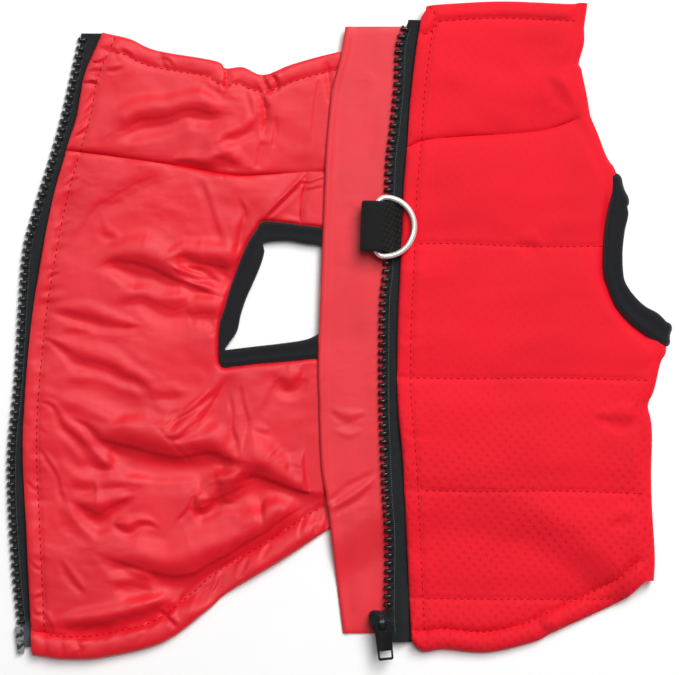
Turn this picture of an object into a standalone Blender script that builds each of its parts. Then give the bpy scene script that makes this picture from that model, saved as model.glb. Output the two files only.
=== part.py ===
"""A padded dog coat, opened at its back zip and laid on a table with its lining up.

The coat lies folded once. Its left half shows the lining, with the left armhole. At the right
edge the cloth turns over, and the right back panel comes back over the belly with its quilted
shell up, so the fold cuts the right armhole into a notch. The right zip tape lies on a guard
flap in the middle, and carries the slider, its pull and the leash ring.

Sizes are in millimetres, scaled to metres where a mesh is made. +X is right, +Y is towards the
collar and +Z is up from the table. The origin is on the table under the middle of the coat.
"""

from math import cos, pi, radians, sin
from typing import NamedTuple

import bmesh
import bpy
import numpy as np

MM = 0.001

# Cloth and gaps
GAP = 0.3  # between pieces that meet or lie on each other
HALF_GAP = 0.17  # what a piece leaves at a seam
CLOTH = 3.0  # shell, thin wadding and lining, laid flat
TOP_CLOTH = 3.2  # the same wall where it lies on top, not pressed down
EDGE = 1.3  # a turned edge of the wall, at its outline
FLAP = 1.0
TAPE = 1.0
TOOTH_HIGH = 2.4
TOOTH_LONG = 3.0  # from the tape's edge to the tips
STITCH_IN = 9.0  # from the hem to its stitching
CASING = 6.6  # width of the elastic casing at the neck
PLACKET = 5.4  # from a zip edge to its topstitching

# The fold at the right edge
FOLD_OUTER = (CLOTH + GAP + TOP_CLOTH) / 2
FOLD_INNER = 0.6
FOLD_SEGMENTS = 6
BED_START = 4.0  # past the lower layer's edge, the top layer begins to come down to the table
BED_FALL = 22.0  # and is down over this length

# The zip
CHAIN_LIFT = CLOTH + GAP + FLAP + GAP  # underside of the right teeth over the flap and the belly
TAPE_IN_CHAIN = (TOOTH_HIGH - TAPE) / 2
SLIDER_LIFT = 1.3  # the slider's lower plate raises the foot of the chain by this
PLATE = 1.0
TOP_PLATE = 1.1
SLIDER_TILT = radians(6.0)
SLIDER_X, SLIDER_Y = 16.6, -113.1
ARCH_OPEN, ARCH_WALL, ARCH_WIDE = 3.0, 1.0, 1.8
HINGE_UP = 1.5  # pull's axis over the top plate
PULL_THICK = 1.2
PULL_REACH = 15.0
PULL_DROOP = radians(7.0)

# The leash ring and its webbing
RING_X, RING_Y = 14.3, 40.5
RING_TURN = radians(-3.6)
RING_DROOP = radians(2.0)
RING_WIRE = 2.2
RING_HALF = 11.4  # half width on the wire's centre line
RING_DEEP = 14.8
RING_CORNER = 3.5
BAR_Z = 10.1
WEBBING = 1.0
WEBBING_WIDE = 19.6
LOOP_TOP = 13.5
LOOP_LEFT = -5.9

SMOOTH_STEPS = 10
CEILING_BESIDE = 6.0  # the lining stays level this far out from the flap
TILT_FREE = 0.8  # and beyond that it may rise this steeply


class At(NamedTuple):
    """A place in plan."""

    x: float
    y: float


class Height(NamedTuple):
    """The cloth's height at a distance from one of its edges."""

    away: float
    height: float


class Fold(NamedTuple):
    """A soft ridge (height over 0) or trough, bent through a middle point."""

    x: float
    y: float
    mid_x: float
    mid_y: float
    end_x: float
    end_y: float
    width: float
    height: float


class Band(NamedTuple):
    """Where a binding starts and ends across: at the hole and at the cloth."""

    hole_x: float
    hole_y: float
    cloth_x: float
    cloth_y: float


# Outlines in plan. Each runs from left to right or from the hem to the neck.
LEFT_CORNER = At(-119.9, -126.6)
LEFT_SEAM = At(-106.6, 70.3)
LEFT_NECK = At(-92.4, 116.4)
LEFT_ZIP_LOW = (LEFT_CORNER, At(-122.2, -77.6), At(-123.5, -42), At(-120.9, -3.5), At(-117.2, 23.4),
                At(-112.1, 50.3), LEFT_SEAM)
LEFT_ZIP_HIGH = (LEFT_SEAM, At(-102.3, 85), At(-99.4, 100.2), LEFT_NECK)
LEFT_TIPS = (At(-126.0, -116), At(-128.5, -90), At(-130.1, -52.3), At(-127.3, -18.3), At(-125.6, 10.7),
             At(-123.9, 32), At(-119.7, 48), At(-110.2, 79.2), At(-102.3, 113.5))

BELLY_HEM = At(-5.6, -78.2)
BELLY_HEM_RIGHT = At(104.8, -81.9)
BELLY_SEAM = At(-12.6, 62)
BELLY_SEAM_RIGHT = At(86, 79.5)
FOLD_FOOT = At(122.5, -97.3)
FOLD_SEAM = At(98, 83.5)
FOLD_NECK = At(96.6, 127.6)
LEFT_HEM = (LEFT_CORNER, At(-111.3, -127.9), At(-104.5, -128.3), At(-91.8, -127.5), At(-69, -121.7),
            At(-51.2, -108.8), At(-43.6, -102.2), At(-22.4, -89.5), BELLY_HEM)
HIDDEN_HEM = (BELLY_HEM, At(16.2, -64.7), At(35.3, -57.3), At(51.7, -55), At(70.4, -58.9), At(89.9, -69.8),
              BELLY_HEM_RIGHT)
STRIP_HEM = (BELLY_HEM_RIGHT, At(113, -90), At(FOLD_FOOT.x - FOLD_OUTER, FOLD_FOOT.y))
LEFT_SIDE_SEAM = (BELLY_HEM, At(-5.6, -30), At(-6.5, -8), At(-11, 18), At(-15, 44.1), BELLY_SEAM)
RIGHT_SIDE_SEAM = (BELLY_HEM_RIGHT, At(104.8, -20), At(104.4, 31.6), At(97, 62), BELLY_SEAM_RIGHT)
LEFT_COLLAR_SEAM = (LEFT_SEAM, At(-86.7, 67.8), At(-60.5, 64), At(-39.4, 60.6), BELLY_SEAM)
BELLY_COLLAR_SEAM = (BELLY_SEAM, At(20, 63), At(55, 69), BELLY_SEAM_RIGHT)
STRIP_COLLAR_SEAM = (BELLY_SEAM_RIGHT, At(FOLD_SEAM.x - FOLD_OUTER, FOLD_SEAM.y))
NECK = (LEFT_NECK, At(-81.7, 113.9), At(-71.5, 109.5), At(-48.6, 105.4), At(-44.4, 102.5), At(-37.7, 102.9),
        At(-29.6, 99.9), At(-18.2, 104.1), At(0.2, 109), At(40, 117), At(70, 123),
        At(FOLD_NECK.x - FOLD_OUTER, FOLD_NECK.y))

RIGHT_CORNER = At(28, -120)
RIGHT_SEAM = At(26.4, 71.5)
RIGHT_NECK = At(31.8, 121.9)
RIGHT_HEM = (At(FOLD_FOOT.x - FOLD_OUTER, FOLD_FOOT.y), At(109.8, -105.3), At(84.6, -117.1), At(76.1, -121.3),
             At(57.6, -125.5), At(40.7, -124.3), At(33.1, -125.1), At(30.6, -123), RIGHT_CORNER)
RIGHT_ZIP_LOW = (RIGHT_CORNER, At(26.8, -94.4), At(24.7, -52.3), At(22.6, -26.9), At(22.6, 2.7),
                 At(23.8, 27.7), At(24.7, 53), RIGHT_SEAM)
RIGHT_ZIP_HIGH = (RIGHT_SEAM, At(27.7, 91.3), At(29.8, 109.6), RIGHT_NECK)
RIGHT_ZIP = RIGHT_ZIP_LOW + RIGHT_ZIP_HIGH[1:]
RIGHT_TIPS = (At(17.6, -117.6), At(17.2, -108), At(17.5, -81.5), At(16.2, -60.5), At(15, -22.6),
              At(15.4, 10.9), At(16.7, 25.4), At(17.5, 61.6), At(19.2, 78.4), At(20.9, 95), At(21.7, 111.4),
              At(24.7, 120.2))
RIGHT_COLLAR_SEAM = (At(FOLD_SEAM.x - FOLD_OUTER, FOLD_SEAM.y), At(88.8, 81), At(79.5, 78.1), At(67.7, 76.8),
                     At(36.5, 74.7), RIGHT_SEAM)
COLLAR_TOP = (At(FOLD_NECK.x - FOLD_OUTER, FOLD_NECK.y), At(88.8, 127.2), At(62.6, 128.2), At(36.5, 126.8),
              At(34, 125.3), RIGHT_NECK)
FOLD_LOW = (FOLD_FOOT, At(122.9, -87.4), At(121.6, -60), At(121.6, -38), At(120, -28.9), At(122.5, -23.4),
            At(125, -12.5), At(127.1, -6.2), At(123, 12), At(115, 38), At(107.8, 61.5), At(104.4, 67.5),
            FOLD_SEAM)
FOLD_HIGH = (FOLD_SEAM, At(94.6, 101.2), At(93.4, 104.2), At(95.5, 112.3), At(95.5, 119), FOLD_NECK)
FOLD_INNER_LOW = tuple(At(place.x - FOLD_OUTER, place.y) for place in FOLD_LOW)
FOLD_INNER_HIGH = tuple(At(place.x - FOLD_OUTER, place.y) for place in FOLD_HIGH)
FLAP_EDGE = (At(1.4, -118), At(-0.5, -103), At(-3, -81.9), At(-4.7, -67.5), At(-7.2, -52.3), At(-8.1, -26.9),
             At(-8.5, -14), At(-7.6, 10.5), At(-6.8, 33.5), At(-5.6, 65.5), At(-4.7, 78.4), At(-3, 93.6),
             At(0.2, 106), At(2.3, 118.3))
FLAP_FOOT, FLAP_HEAD = -118.1, 118.6
FLAP_UNDER = 4.0  # how far the flap goes under the right panel's edge

LEFT_ARMHOLE = (
    Band(hole_x=-29.1, hole_y=34.3, cloth_x=-29.7, cloth_y=42.7),
    Band(-20.6, 35.1, -20.6, 42.1),
    Band(-13.8, 34.1, -14.6, 41.3),
    Band(-7.0, 33.0, -7.0, 40.3),
    Band(-3.3, 29.3, 2.2, 37.0),
    Band(-1.7, 21.8, 5.7, 24.6),
    Band(-2.1, 12.1, 4.9, 9.8),
    Band(-4.4, 2.7, 1.0, -3.5),
    Band(-8.6, -1.3, -5.6, -9.8),
    Band(-13.8, -3.5, -13.0, -11.1),
    Band(-23.2, -4.9, -22.5, -12.0),
    Band(-34.5, -6.2, -32.5, -12.8),
    Band(-42.0, -7.1, -40.3, -13.7),
    Band(-44.6, -7.2, -46.2, -13.7),
    Band(-43.0, -4.7, -47.2, -5.5),
    Band(-39.9, 0.0, -46.8, 2.7),
    Band(-38.5, 6.2, -45.0, 8.6),
    Band(-36.4, 12.6, -42.8, 16.2),
    Band(-33.3, 19.5, -39.6, 25.4),
    Band(-30.6, 26.1, -36.0, 33.9),
    Band(-29.3, 30.8, -32.5, 39.4),
)
# The right armhole's upper half, from the fold at the shoulder to the fold at the chest
RIGHT_ARMHOLE = (
    Band(hole_x=110.2, hole_y=48.6, cloth_x=104.9, cloth_y=59.9),
    Band(112.0, 44.5, 105.1, 51.1),
    Band(111.0, 38.6, 103.6, 41.7),
    Band(110.2, 30.8, 102.8, 32.0),
    Band(110.4, 23.0, 102.8, 23.4),
    Band(111.4, 18.7, 104.2, 17.9),
    Band(114.5, 14.0, 107.7, 9.5),
    Band(118.8, 9.8, 113.2, 3.1),
    Band(123.9, 6.9, 119.2, -1.6),
    Band(127.4, 3.5, 124.5, -5.2),
)

# Heights across an edge, from the outline inwards
HEM_ROLL = (Height(0, EDGE), Height(1.5, 3.1), Height(4.5, 4.0), Height(STITCH_IN, 2.2), Height(11, 3.3))
CASING_ROLL = (Height(0, EDGE), Height(1.5, 3.0), Height(3.5, 3.8), Height(CASING, 2.3), Height(8.5, 3.3))
PLACKET_ROLL = (Height(0, 2.4), Height(1.5, 3.2), Height(3.4, 3.5), Height(PLACKET, 2.5), Height(7.2, 3.3))
SEAM_DIP = (Height(0, 2.3), Height(2.0, 3.3))
LINING = 3.3  # the lining's height between its folds
QUILT = 0.5  # a quilted channel's rise over its stitch lines
QUILT_LINES = (33.3, -18.7, -62.6, -104.5)
QUILT_TOP = 70.0
RAISED_EDGE = 0.7  # the right zip edge lies this much higher, on the flap

LINING_FOLDS = (
    Fold(x=-85, y=76, mid_x=-77, mid_y=82, end_x=-67, end_y=85, width=3.0, height=-1.0),
    Fold(-68, 85, -56, 88, -43, 85, 3.2, -1.2),
    Fold(-51, 70, -40, 76, -30, 83, 3.4, 1.2),
    Fold(-28, 94, -29, 84, -31, 75, 2.4, -1.0),
    Fold(-44, 103, -43, 99, -44, 95, 1.4, -1.0),
    Fold(-28, 101, -28, 98, -28, 94, 1.4, -1.0),
    Fold(-96, 47, -86, 55, -63, 55, 2.8, -1.1),
    Fold(-94, 27, -72, 30, -46, 12, 3.2, -1.4),
    Fold(-68, 26, -58, 20, -45, 16, 2.8, 1.3),
    Fold(-54, 61, -49, 50, -44, 30, 2.2, -0.8),
    Fold(-84, 10, -70, 16, -49, 8, 3.4, -0.9),
    Fold(-103, 4, -92, 4, -78, 1, 3.0, -0.8),
    Fold(-115, -4, -90, -16, -73, -24, 3.4, -1.1),
    Fold(-104, -36, -78, -48, -39, -51, 4.4, -1.8),
    Fold(-100, -30, -76, -36, -48, -36, 3.6, 1.5),
    Fold(-86, -58, -68, -60, -50, -58, 3.8, 1.3),
    Fold(-117, -27, -106, -38, -92, -52, 3.0, -1.2),
    Fold(-46, -25, -56, -28, -68, -41, 3.0, -1.4),
    Fold(-68, -41, -56, -44, -42, -27, 2.6, 1.3),
    Fold(-41, -19, -37, -34, -38, -49, 2.4, -0.9),
    Fold(-48, -61, -40, -68, -32, -60, 3.0, -1.0),
    Fold(-33, -52, -20, -60, -6, -66, 4.6, -1.2),
    Fold(-102, -66, -92, -75, -80, -66, 3.2, -0.9),
    Fold(-92, -87, -70, -93, -51, -98, 4.6, -1.5),
    Fold(-112, -86, -106, -98, -98, -102, 3.4, -0.8),
)


# Curves

def smooth(knots, closed=False):
    """A Catmull-Rom curve through the knots, as a fine polyline."""
    points = np.array([knot[:2] for knot in knots], float)
    if closed:
        points = np.concatenate([points[-1:], points, points[:2]])
    else:
        points = np.concatenate([2 * points[:1] - points[1:2], points, 2 * points[-1:] - points[-2:-1]])
    before, start, end, after = (points[i:len(points) - 3 + i, None] for i in range(4))
    t = np.linspace(0, 1, SMOOTH_STEPS, endpoint=False)[None, :, None]
    line = 0.5 * (2 * start + (end - before) * t + (2 * before - 5 * start + 4 * end - after) * t**2
                  + (3 * start - before - 3 * end + after) * t**3)
    return np.concatenate([line.reshape(-1, 2), points[-2:-1]])


def along(knots, fraction, closed=False):
    """Points of the smooth curve at fractions of its length."""
    line = smooth(knots, closed)
    length = np.append(0, np.cumsum(np.linalg.norm(np.diff(line, axis=0), axis=1)))
    return np.stack([np.interp(fraction * length[-1], length, line[:, axis]) for axis in (0, 1)], -1)


def x_at(knots, y):
    """The x of an upright curve at each y."""
    line = smooth(knots)
    return np.interp(y, line[:, 1], line[:, 0])


def y_at(knots, x):
    """The y of a level curve at each x."""
    line = smooth(knots)
    return np.interp(x, line[:, 0], line[:, 1])


def outset(points, distance):
    """A closed clockwise outline moved outwards."""
    step = np.roll(points, -1, axis=0) - np.roll(points, 1, axis=0)
    step /= np.linalg.norm(step, axis=1, keepdims=True)
    return points + distance * np.stack([-step[:, 1], step[:, 0]], -1)


def ease(value):
    """0 below 0, 1 above 1, and a smooth step between."""
    value = np.clip(value, 0, 1)
    return value * value * (3 - 2 * value)


# Panels in plan

class Sheet(NamedTuple):
    """A panel's grid: its points in plan, and how far each lies from the panel's four edges."""

    x: np.ndarray
    y: np.ndarray
    south: np.ndarray
    north: np.ndarray
    west: np.ndarray
    east: np.ndarray


def steps(length, near, far, middle):
    """Distances from 0 to length: the near ones, even ones between, then the far ones from the end."""
    inner = np.linspace(near[-1], length - far[-1], middle + 2)[1:-1]
    return np.concatenate([near, inner, length - np.array(far[::-1])])


def sheet(south, north, west, east, rows, columns):
    """A Coons patch between four edges. rows and columns are (near, far, middle) for steps()."""
    ends = np.array([0.0, 0.5, 1.0])
    tall = np.linalg.norm(along(north, ends) - along(south, ends), axis=1)
    wide = np.linalg.norm(along(east, ends) - along(west, ends), axis=1)
    widths = steps(wide[1], *columns) / wide[1]
    heights = np.interp(widths, ends, tall)
    t = np.stack([steps(height, *rows) / height for height in heights], 1)
    row_wide = np.interp(t[:, len(widths) // 2], ends, wide)
    s = np.stack([steps(width, *columns) / width for width in row_wide])
    s_, t_ = s[..., None], t[..., None]
    corners = [along(edge, np.array([0.0, 1.0])) for edge in (south, north)]
    grid = ((1 - t_) * along(south, s) + t_ * along(north, s)
            + (1 - s_) * along(west, t) + s_ * along(east, t)
            - (1 - s_) * (1 - t_) * corners[0][0] - s_ * (1 - t_) * corners[0][1]
            - (1 - s_) * t_ * corners[1][0] - s_ * t_ * corners[1][1])
    across = row_wide[:, None]
    return Sheet(grid[..., 0], grid[..., 1], t * heights, (1 - t) * heights, s * across, (1 - s) * across)


def across_edge(away, table):
    """How much a row of Height changes the wall near an edge, against its last height."""
    return np.interp(away, [row.away for row in table], [row.height for row in table]) - table[-1].height


def fold_relief(x, y):
    """The lining's folds, added up: each is a soft band along a bent line that fades at its ends."""
    total = np.zeros_like(x)
    for fold in LINING_FOLDS:
        t = np.linspace(0, 1, 9)[:, None]
        start, middle, end = (np.array(fold[i:i + 2]) for i in (0, 2, 4))
        path = (1 - t) * (1 - 2 * t) * start + 4 * t * (1 - t) * middle + t * (2 * t - 1) * end
        away = np.hypot(x[..., None] - path[:, 0], y[..., None] - path[:, 1])
        nearest = away.argmin(axis=-1)
        fade = np.sqrt(np.sin(pi * np.clip(nearest / 8, 0.04, 0.96)))
        total += fold.height * fade * np.exp(-(away.min(axis=-1) / fold.width) ** 2)
    return total


def ceiling(x, y):
    """The most that the lower layer may rise: its plain height under the flap, and more beside it."""
    return CLOTH + TILT_FREE * np.maximum(x_at(FLAP_EDGE, y) - CEILING_BESIDE - x, 0)


def bed(x, y):
    """Where the top layer lies: on the lower layer, and down on the table past its hem and neck."""
    past = np.maximum(y_at(LEFT_HEM + HIDDEN_HEM[1:] + STRIP_HEM[1:], x) - y, y - y_at(NECK, x))
    return (CLOTH + GAP) * (1 - ease((past - BED_START) / BED_FALL))


# Meshes

def show(name, mesh, finish, collection):
    """Puts a mesh in the scene as one object with one finish."""
    obj = bpy.data.objects.new(name, mesh)
    collection.objects.link(obj)
    mesh.materials.clear()
    mesh.materials.append(finish)
    return obj


def take_grid(vertices, points):
    """Moves a flat grid's vertices, which span -1 to 1, to the points of the same row and column."""
    rows, columns = points.shape[:2]
    for vertex in vertices:
        row = round((vertex.co.y + 1) / 2 * (rows - 1))
        column = round((vertex.co.x + 1) / 2 * (columns - 1))
        vertex.co = points[row, column] * MM


def wall(name, face, back, finish, collection):
    """A closed wall between two equal grids of points, (rows, columns, 3)."""
    rows, columns = face.shape[:2]
    shape = bmesh.new()
    bmesh.ops.create_grid(shape, x_segments=columns - 1, y_segments=rows - 1, size=1)
    first = shape.verts[:]
    made = bmesh.ops.extrude_face_region(shape, geom=shape.faces[:])["geom"]
    second = [part for part in made if isinstance(part, bmesh.types.BMVert)]
    take_grid(first, back)
    take_grid(second, face)
    bmesh.ops.recalc_face_normals(shape, faces=shape.faces[:])
    mesh = bpy.data.meshes.new(name)
    shape.to_mesh(mesh)
    shape.free()
    mesh.shade_smooth()
    mesh.set_sharp_from_angle(angle=radians(50))
    return show(name, mesh, finish, collection)


def prism(name, outlines, low, high, finish, collection):
    """A flat shape from low to high. The first outline is its edge, and the others are holes."""
    curve = bpy.data.curves.new(name, "CURVE")
    curve.dimensions = "2D"
    curve.fill_mode = "BOTH"
    curve.extrude = (high - low) / 2 * MM
    for outline in outlines:
        spline = curve.splines.new("POLY")
        spline.points.add(len(outline) - 1)
        for point, place in zip(spline.points, outline):
            point.co = (place[0] * MM, place[1] * MM, 0, 1)
        spline.use_cyclic_u = True
    guide = bpy.data.objects.new(name + "_outline", curve)
    collection.objects.link(guide)
    graph = bpy.context.evaluated_depsgraph_get()
    mesh = bpy.data.meshes.new_from_object(guide.evaluated_get(graph))
    mesh.name = name
    bpy.data.objects.remove(guide)
    shape = bmesh.new()
    shape.from_mesh(mesh)
    bmesh.ops.translate(shape, verts=shape.verts, vec=(0, 0, (low + high) / 2 * MM))
    bmesh.ops.remove_doubles(shape, verts=shape.verts, dist=1e-6)
    bmesh.ops.recalc_face_normals(shape, faces=shape.faces[:])
    shape.to_mesh(mesh)
    shape.free()
    return show(name, mesh, finish, collection)


def combine(obj, other, operation):
    """Joins or cuts with another object, which is kept as a hidden helper."""
    modifier = obj.modifiers.new(operation.title() + "_" + other.name, "BOOLEAN")
    modifier.operation = operation
    modifier.object = other
    other.hide_render = True
    other.display_type = "WIRE"


def finish_of(name, color, roughness, metallic=0.0):
    """A Principled material in one colour."""
    material = bpy.data.materials.new(name)
    material.use_nodes = True
    shader = material.node_tree.nodes["Principled BSDF"]
    shader.inputs["Base Color"].default_value = (*color, 1)
    shader.inputs["Roughness"].default_value = roughness
    shader.inputs["Metallic"].default_value = metallic
    return material


# The lower layer

def lower_wall(name, grid, height, finish, collection):
    """A panel on the table: flat below, with its lining's heights above."""
    top = np.clip(height, 1.0, ceiling(grid.x, grid.y))
    face = np.stack([grid.x, grid.y, top], -1)
    back = np.stack([grid.x, grid.y, np.zeros_like(top)], -1)
    return wall(name, face, back, finish, collection)


def trimmed(grid, west=0.0, east=0.0, south=0.0, north=0.0):
    """A panel's grid with its edges drawn in, each by a seam's half gap."""
    x = grid.x + west * np.exp(-grid.west) - east * np.exp(-grid.east)
    y = grid.y + south * np.exp(-grid.south) - north * np.exp(-grid.north)
    return grid._replace(x=x, y=y)


BODY_ROWS = ((0, 1.5, 4.5, STITCH_IN, 11), (0, 2), 28)  # the same in all panels, so their seams match
COLLAR_ROWS = ((0, 2), (0, 1.5, 3.5, CASING, 8.5), 5)


def back_left(finish, collection):
    """The left back panel, lining up, from the left zip to the side seam."""
    grid = sheet(LEFT_HEM, LEFT_COLLAR_SEAM, LEFT_ZIP_LOW, LEFT_SIDE_SEAM,
                 BODY_ROWS, columns=((0, 1.5, 3.4, PLACKET, 7.2), (0, 2), 19))
    grid = trimmed(grid, east=HALF_GAP, north=HALF_GAP)
    height = (LINING + across_edge(grid.south, HEM_ROLL) + across_edge(grid.west, PLACKET_ROLL)
              + across_edge(grid.north, SEAM_DIP) + across_edge(grid.east, SEAM_DIP)
              + fold_relief(grid.x, grid.y))
    return lower_wall("back_left", grid, height, finish, collection)


def belly(finish, collection):
    """The belly panel, between the side seams and mostly hidden."""
    grid = sheet(HIDDEN_HEM, BELLY_COLLAR_SEAM, LEFT_SIDE_SEAM, RIGHT_SIDE_SEAM,
                 BODY_ROWS, columns=((0, 2), (0, 2), 8))
    grid = trimmed(grid, west=HALF_GAP, east=HALF_GAP, north=HALF_GAP)
    height = (LINING + across_edge(grid.north, SEAM_DIP) + across_edge(grid.west, SEAM_DIP)
              + across_edge(grid.south, HEM_ROLL[:2]))
    return lower_wall("belly", grid, height, finish, collection)


# What is folded over at the right

def turned(low, high, edge, low_top, high_bottom, high_top):
    """The shell's and the lining's points of a wall that turns over at the fold and comes back on top.

    low is the layer on the table, up to the fold, and high the one on top, from the fold on. edge
    is the fold's inner line, one place a row. The rest are the heights of the faces in between.
    """
    angle = np.linspace(-pi / 2, pi / 2, FOLD_SEGMENTS + 1)[1:-1]

    def arc(radius, middle):
        return np.stack(np.broadcast_arrays(edge[:, None, 0] + radius * np.cos(angle), edge[:, None, 1],
                                            middle + radius * np.sin(angle)), -1)

    table = np.zeros_like(low.x)
    shell = [np.stack([low.x, low.y, table], -1), arc(FOLD_OUTER, FOLD_OUTER),
             np.stack([high.x, high.y, high_top], -1)]
    lining = [np.stack([low.x, low.y, low_top], -1), arc(FOLD_INNER, CLOTH + GAP / 2),
              np.stack([high.x, high.y, high_bottom], -1)]
    return np.concatenate(shell, axis=1), np.concatenate(lining, axis=1)


def top_heights(grid, puff):
    """Underside and upper side of the top layer: on its bed, and lifted over the flap at the zip."""
    lies = bed(grid.x, grid.y)
    lies = CLOTH + GAP + (lies - CLOTH - GAP) * ease(grid.west / 15.0)
    from_zip = grid.x - x_at(RIGHT_ZIP, grid.y)
    bottom = lies + (FLAP + GAP) * (1 - ease((from_zip - FLAP_UNDER - 1.0) / 5.0))
    top = lies + TOP_CLOTH + puff + RAISED_EDGE * (1 - ease((from_zip - 5.0) / 7.0))
    return bottom, np.maximum(top, bottom + 1.0)


def near_fold(grid, value):
    """Fades a height out where the wall turns over."""
    return value * ease(grid.west / 5.0)


def quilting(grid):
    """Level channels: the wall rises between the stitch lines and pulls in at each."""
    lines = np.array((QUILT_TOP,) + QUILT_LINES)[:, None, None] + 0.0 * grid.x
    away = np.abs(grid.y - lines).min(axis=0)
    return QUILT * (1 - np.exp(-(away / 4.0) ** 2)) - 0.25 * np.exp(-(away / 1.2) ** 2)


def back_top():
    """The right back panel's upper layer in plan, from the fold to the zip."""
    high = sheet(RIGHT_HEM, RIGHT_COLLAR_SEAM, FOLD_INNER_LOW, RIGHT_ZIP_LOW, BODY_ROWS,
                 ((0, 2, 5), (0, 1.5, FLAP_UNDER, PLACKET, 7.2), 11))
    return trimmed(high, north=HALF_GAP)


def collar_top():
    """The collar's upper layer in plan, from the fold to the zip."""
    high = sheet(RIGHT_COLLAR_SEAM, COLLAR_TOP, FOLD_INNER_HIGH, RIGHT_ZIP_HIGH, COLLAR_ROWS,
                 ((0, 2, 5), (0, 1.5, FLAP_UNDER, PLACKET, 7.2), 8))
    return trimmed(high, south=HALF_GAP)


def back_right(finish, collection):
    """The right back panel: a strip on the table, the fold, and the quilted face on top."""
    low = sheet(STRIP_HEM, STRIP_COLLAR_SEAM, RIGHT_SIDE_SEAM, FOLD_INNER_LOW, BODY_ROWS, ((0, 2), (0, 2), 1))
    low = trimmed(low, west=HALF_GAP, north=HALF_GAP)
    high = back_top()
    low_top = CLOTH + 0.0 * low.x
    low_top += across_edge(low.west, SEAM_DIP) + across_edge(low.south, HEM_ROLL[:2]) * ease(low.east / 4.0)
    roll = across_edge(high.south, HEM_ROLL) + across_edge(high.north, SEAM_DIP)
    stitch = across_edge(high.east, PLACKET_ROLL)
    bottom, top = top_heights(high, near_fold(high, quilting(high)) + roll + stitch)
    shell, lining = turned(low, high, fold_line(high), low_top, bottom, top)
    return wall("back_right", shell, lining, finish, collection)


def collar(finish, collection):
    """The collar strip: lining up on the left, round the fold, and shell up on the right."""
    seam = LEFT_COLLAR_SEAM + BELLY_COLLAR_SEAM[1:] + STRIP_COLLAR_SEAM[1:]
    low = sheet(seam, NECK, LEFT_ZIP_HIGH, FOLD_INNER_HIGH, COLLAR_ROWS,
                ((0, 1.5, 3.4, PLACKET, 7.2), (0, 3), 32))
    low = trimmed(low, south=HALF_GAP)
    high = collar_top()
    height = (LINING + across_edge(low.north, CASING_ROLL) + across_edge(low.west, PLACKET_ROLL)
              + across_edge(low.south, SEAM_DIP) + fold_relief(low.x, low.y))
    low_top = np.clip(height, 1.0, ceiling(low.x, low.y))
    roll = across_edge(high.north, CASING_ROLL) + across_edge(high.south, SEAM_DIP)
    bottom, top = top_heights(high, roll + across_edge(high.east, PLACKET_ROLL))
    shell, lining = turned(low, high, fold_line(high), low_top, bottom, top)
    return wall("collar", shell, lining, finish, collection)


def fold_line(high):
    """The places of the fold's inner line, one a row of the layer on top."""
    return np.stack([high.x[:, 0], high.y[:, 0]], -1)


# Bindings

# Across a binding, then through it, in parts of its width and thickness
BINDING_SECTION = ((0.5, -0.2), (0.5, 0.2), (0.36, 0.5), (-0.36, 0.5),
                   (-0.5, 0.2), (-0.5, -0.2), (-0.36, -0.5), (0.36, -0.5))
BINDING_STATIONS = 60


def ring(name, centre, across, through, finish, collection):
    """A closed band: BINDING_SECTION carried round the centres, on a torus's mesh."""
    stations, corners = len(centre), len(BINDING_SECTION)
    bpy.ops.mesh.primitive_torus_add(major_segments=stations, minor_segments=corners)
    helper = bpy.context.object
    mesh = helper.data
    bpy.data.objects.remove(helper)
    section = np.array(BINDING_SECTION)[None]
    points = (centre[:, None] + across[:, None] * section[..., :1]
              + through[:, None] * section[..., 1:])
    mesh.vertices.foreach_set("co", (points.reshape(-1, 3) * MM).ravel())
    mesh.update()
    shape = bmesh.new()
    shape.from_mesh(mesh)
    bmesh.ops.recalc_face_normals(shape, faces=shape.faces[:])
    shape.to_mesh(mesh)
    shape.free()
    mesh.shade_smooth()
    mesh.name = name
    return show(name, mesh, finish, collection)


def band_edges(bands, stations, closed):
    """The hole's and the cloth's side of a binding, at even steps from row to row."""
    where = np.linspace(0, len(bands) if closed else len(bands) - 1, stations, endpoint=not closed)
    edges = []
    for first in (0, 2):
        knots = [At(*band[first:first + 2]) for band in bands]
        line = smooth(knots, closed)
        step = np.arange(len(line)) / SMOOTH_STEPS
        edges.append(np.stack([np.interp(where, step, line[:, axis]) for axis in (0, 1)], -1))
    return edges


def flat(points, z):
    """Places in plan raised to one height."""
    return np.column_stack([points, np.full(len(points), z)])


def binding_left(finish, collection):
    """The left armhole's binding, a closed band flat on the table."""
    hole, cloth = band_edges(LEFT_ARMHOLE, BINDING_STATIONS, closed=True)
    through = np.tile([0, 0, CLOTH], (len(hole), 1))
    centre, across = flat((hole + cloth) / 2, CLOTH / 2), flat(hole - cloth, 0)
    return ring("binding_left", centre, across, through, finish, collection)


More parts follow.
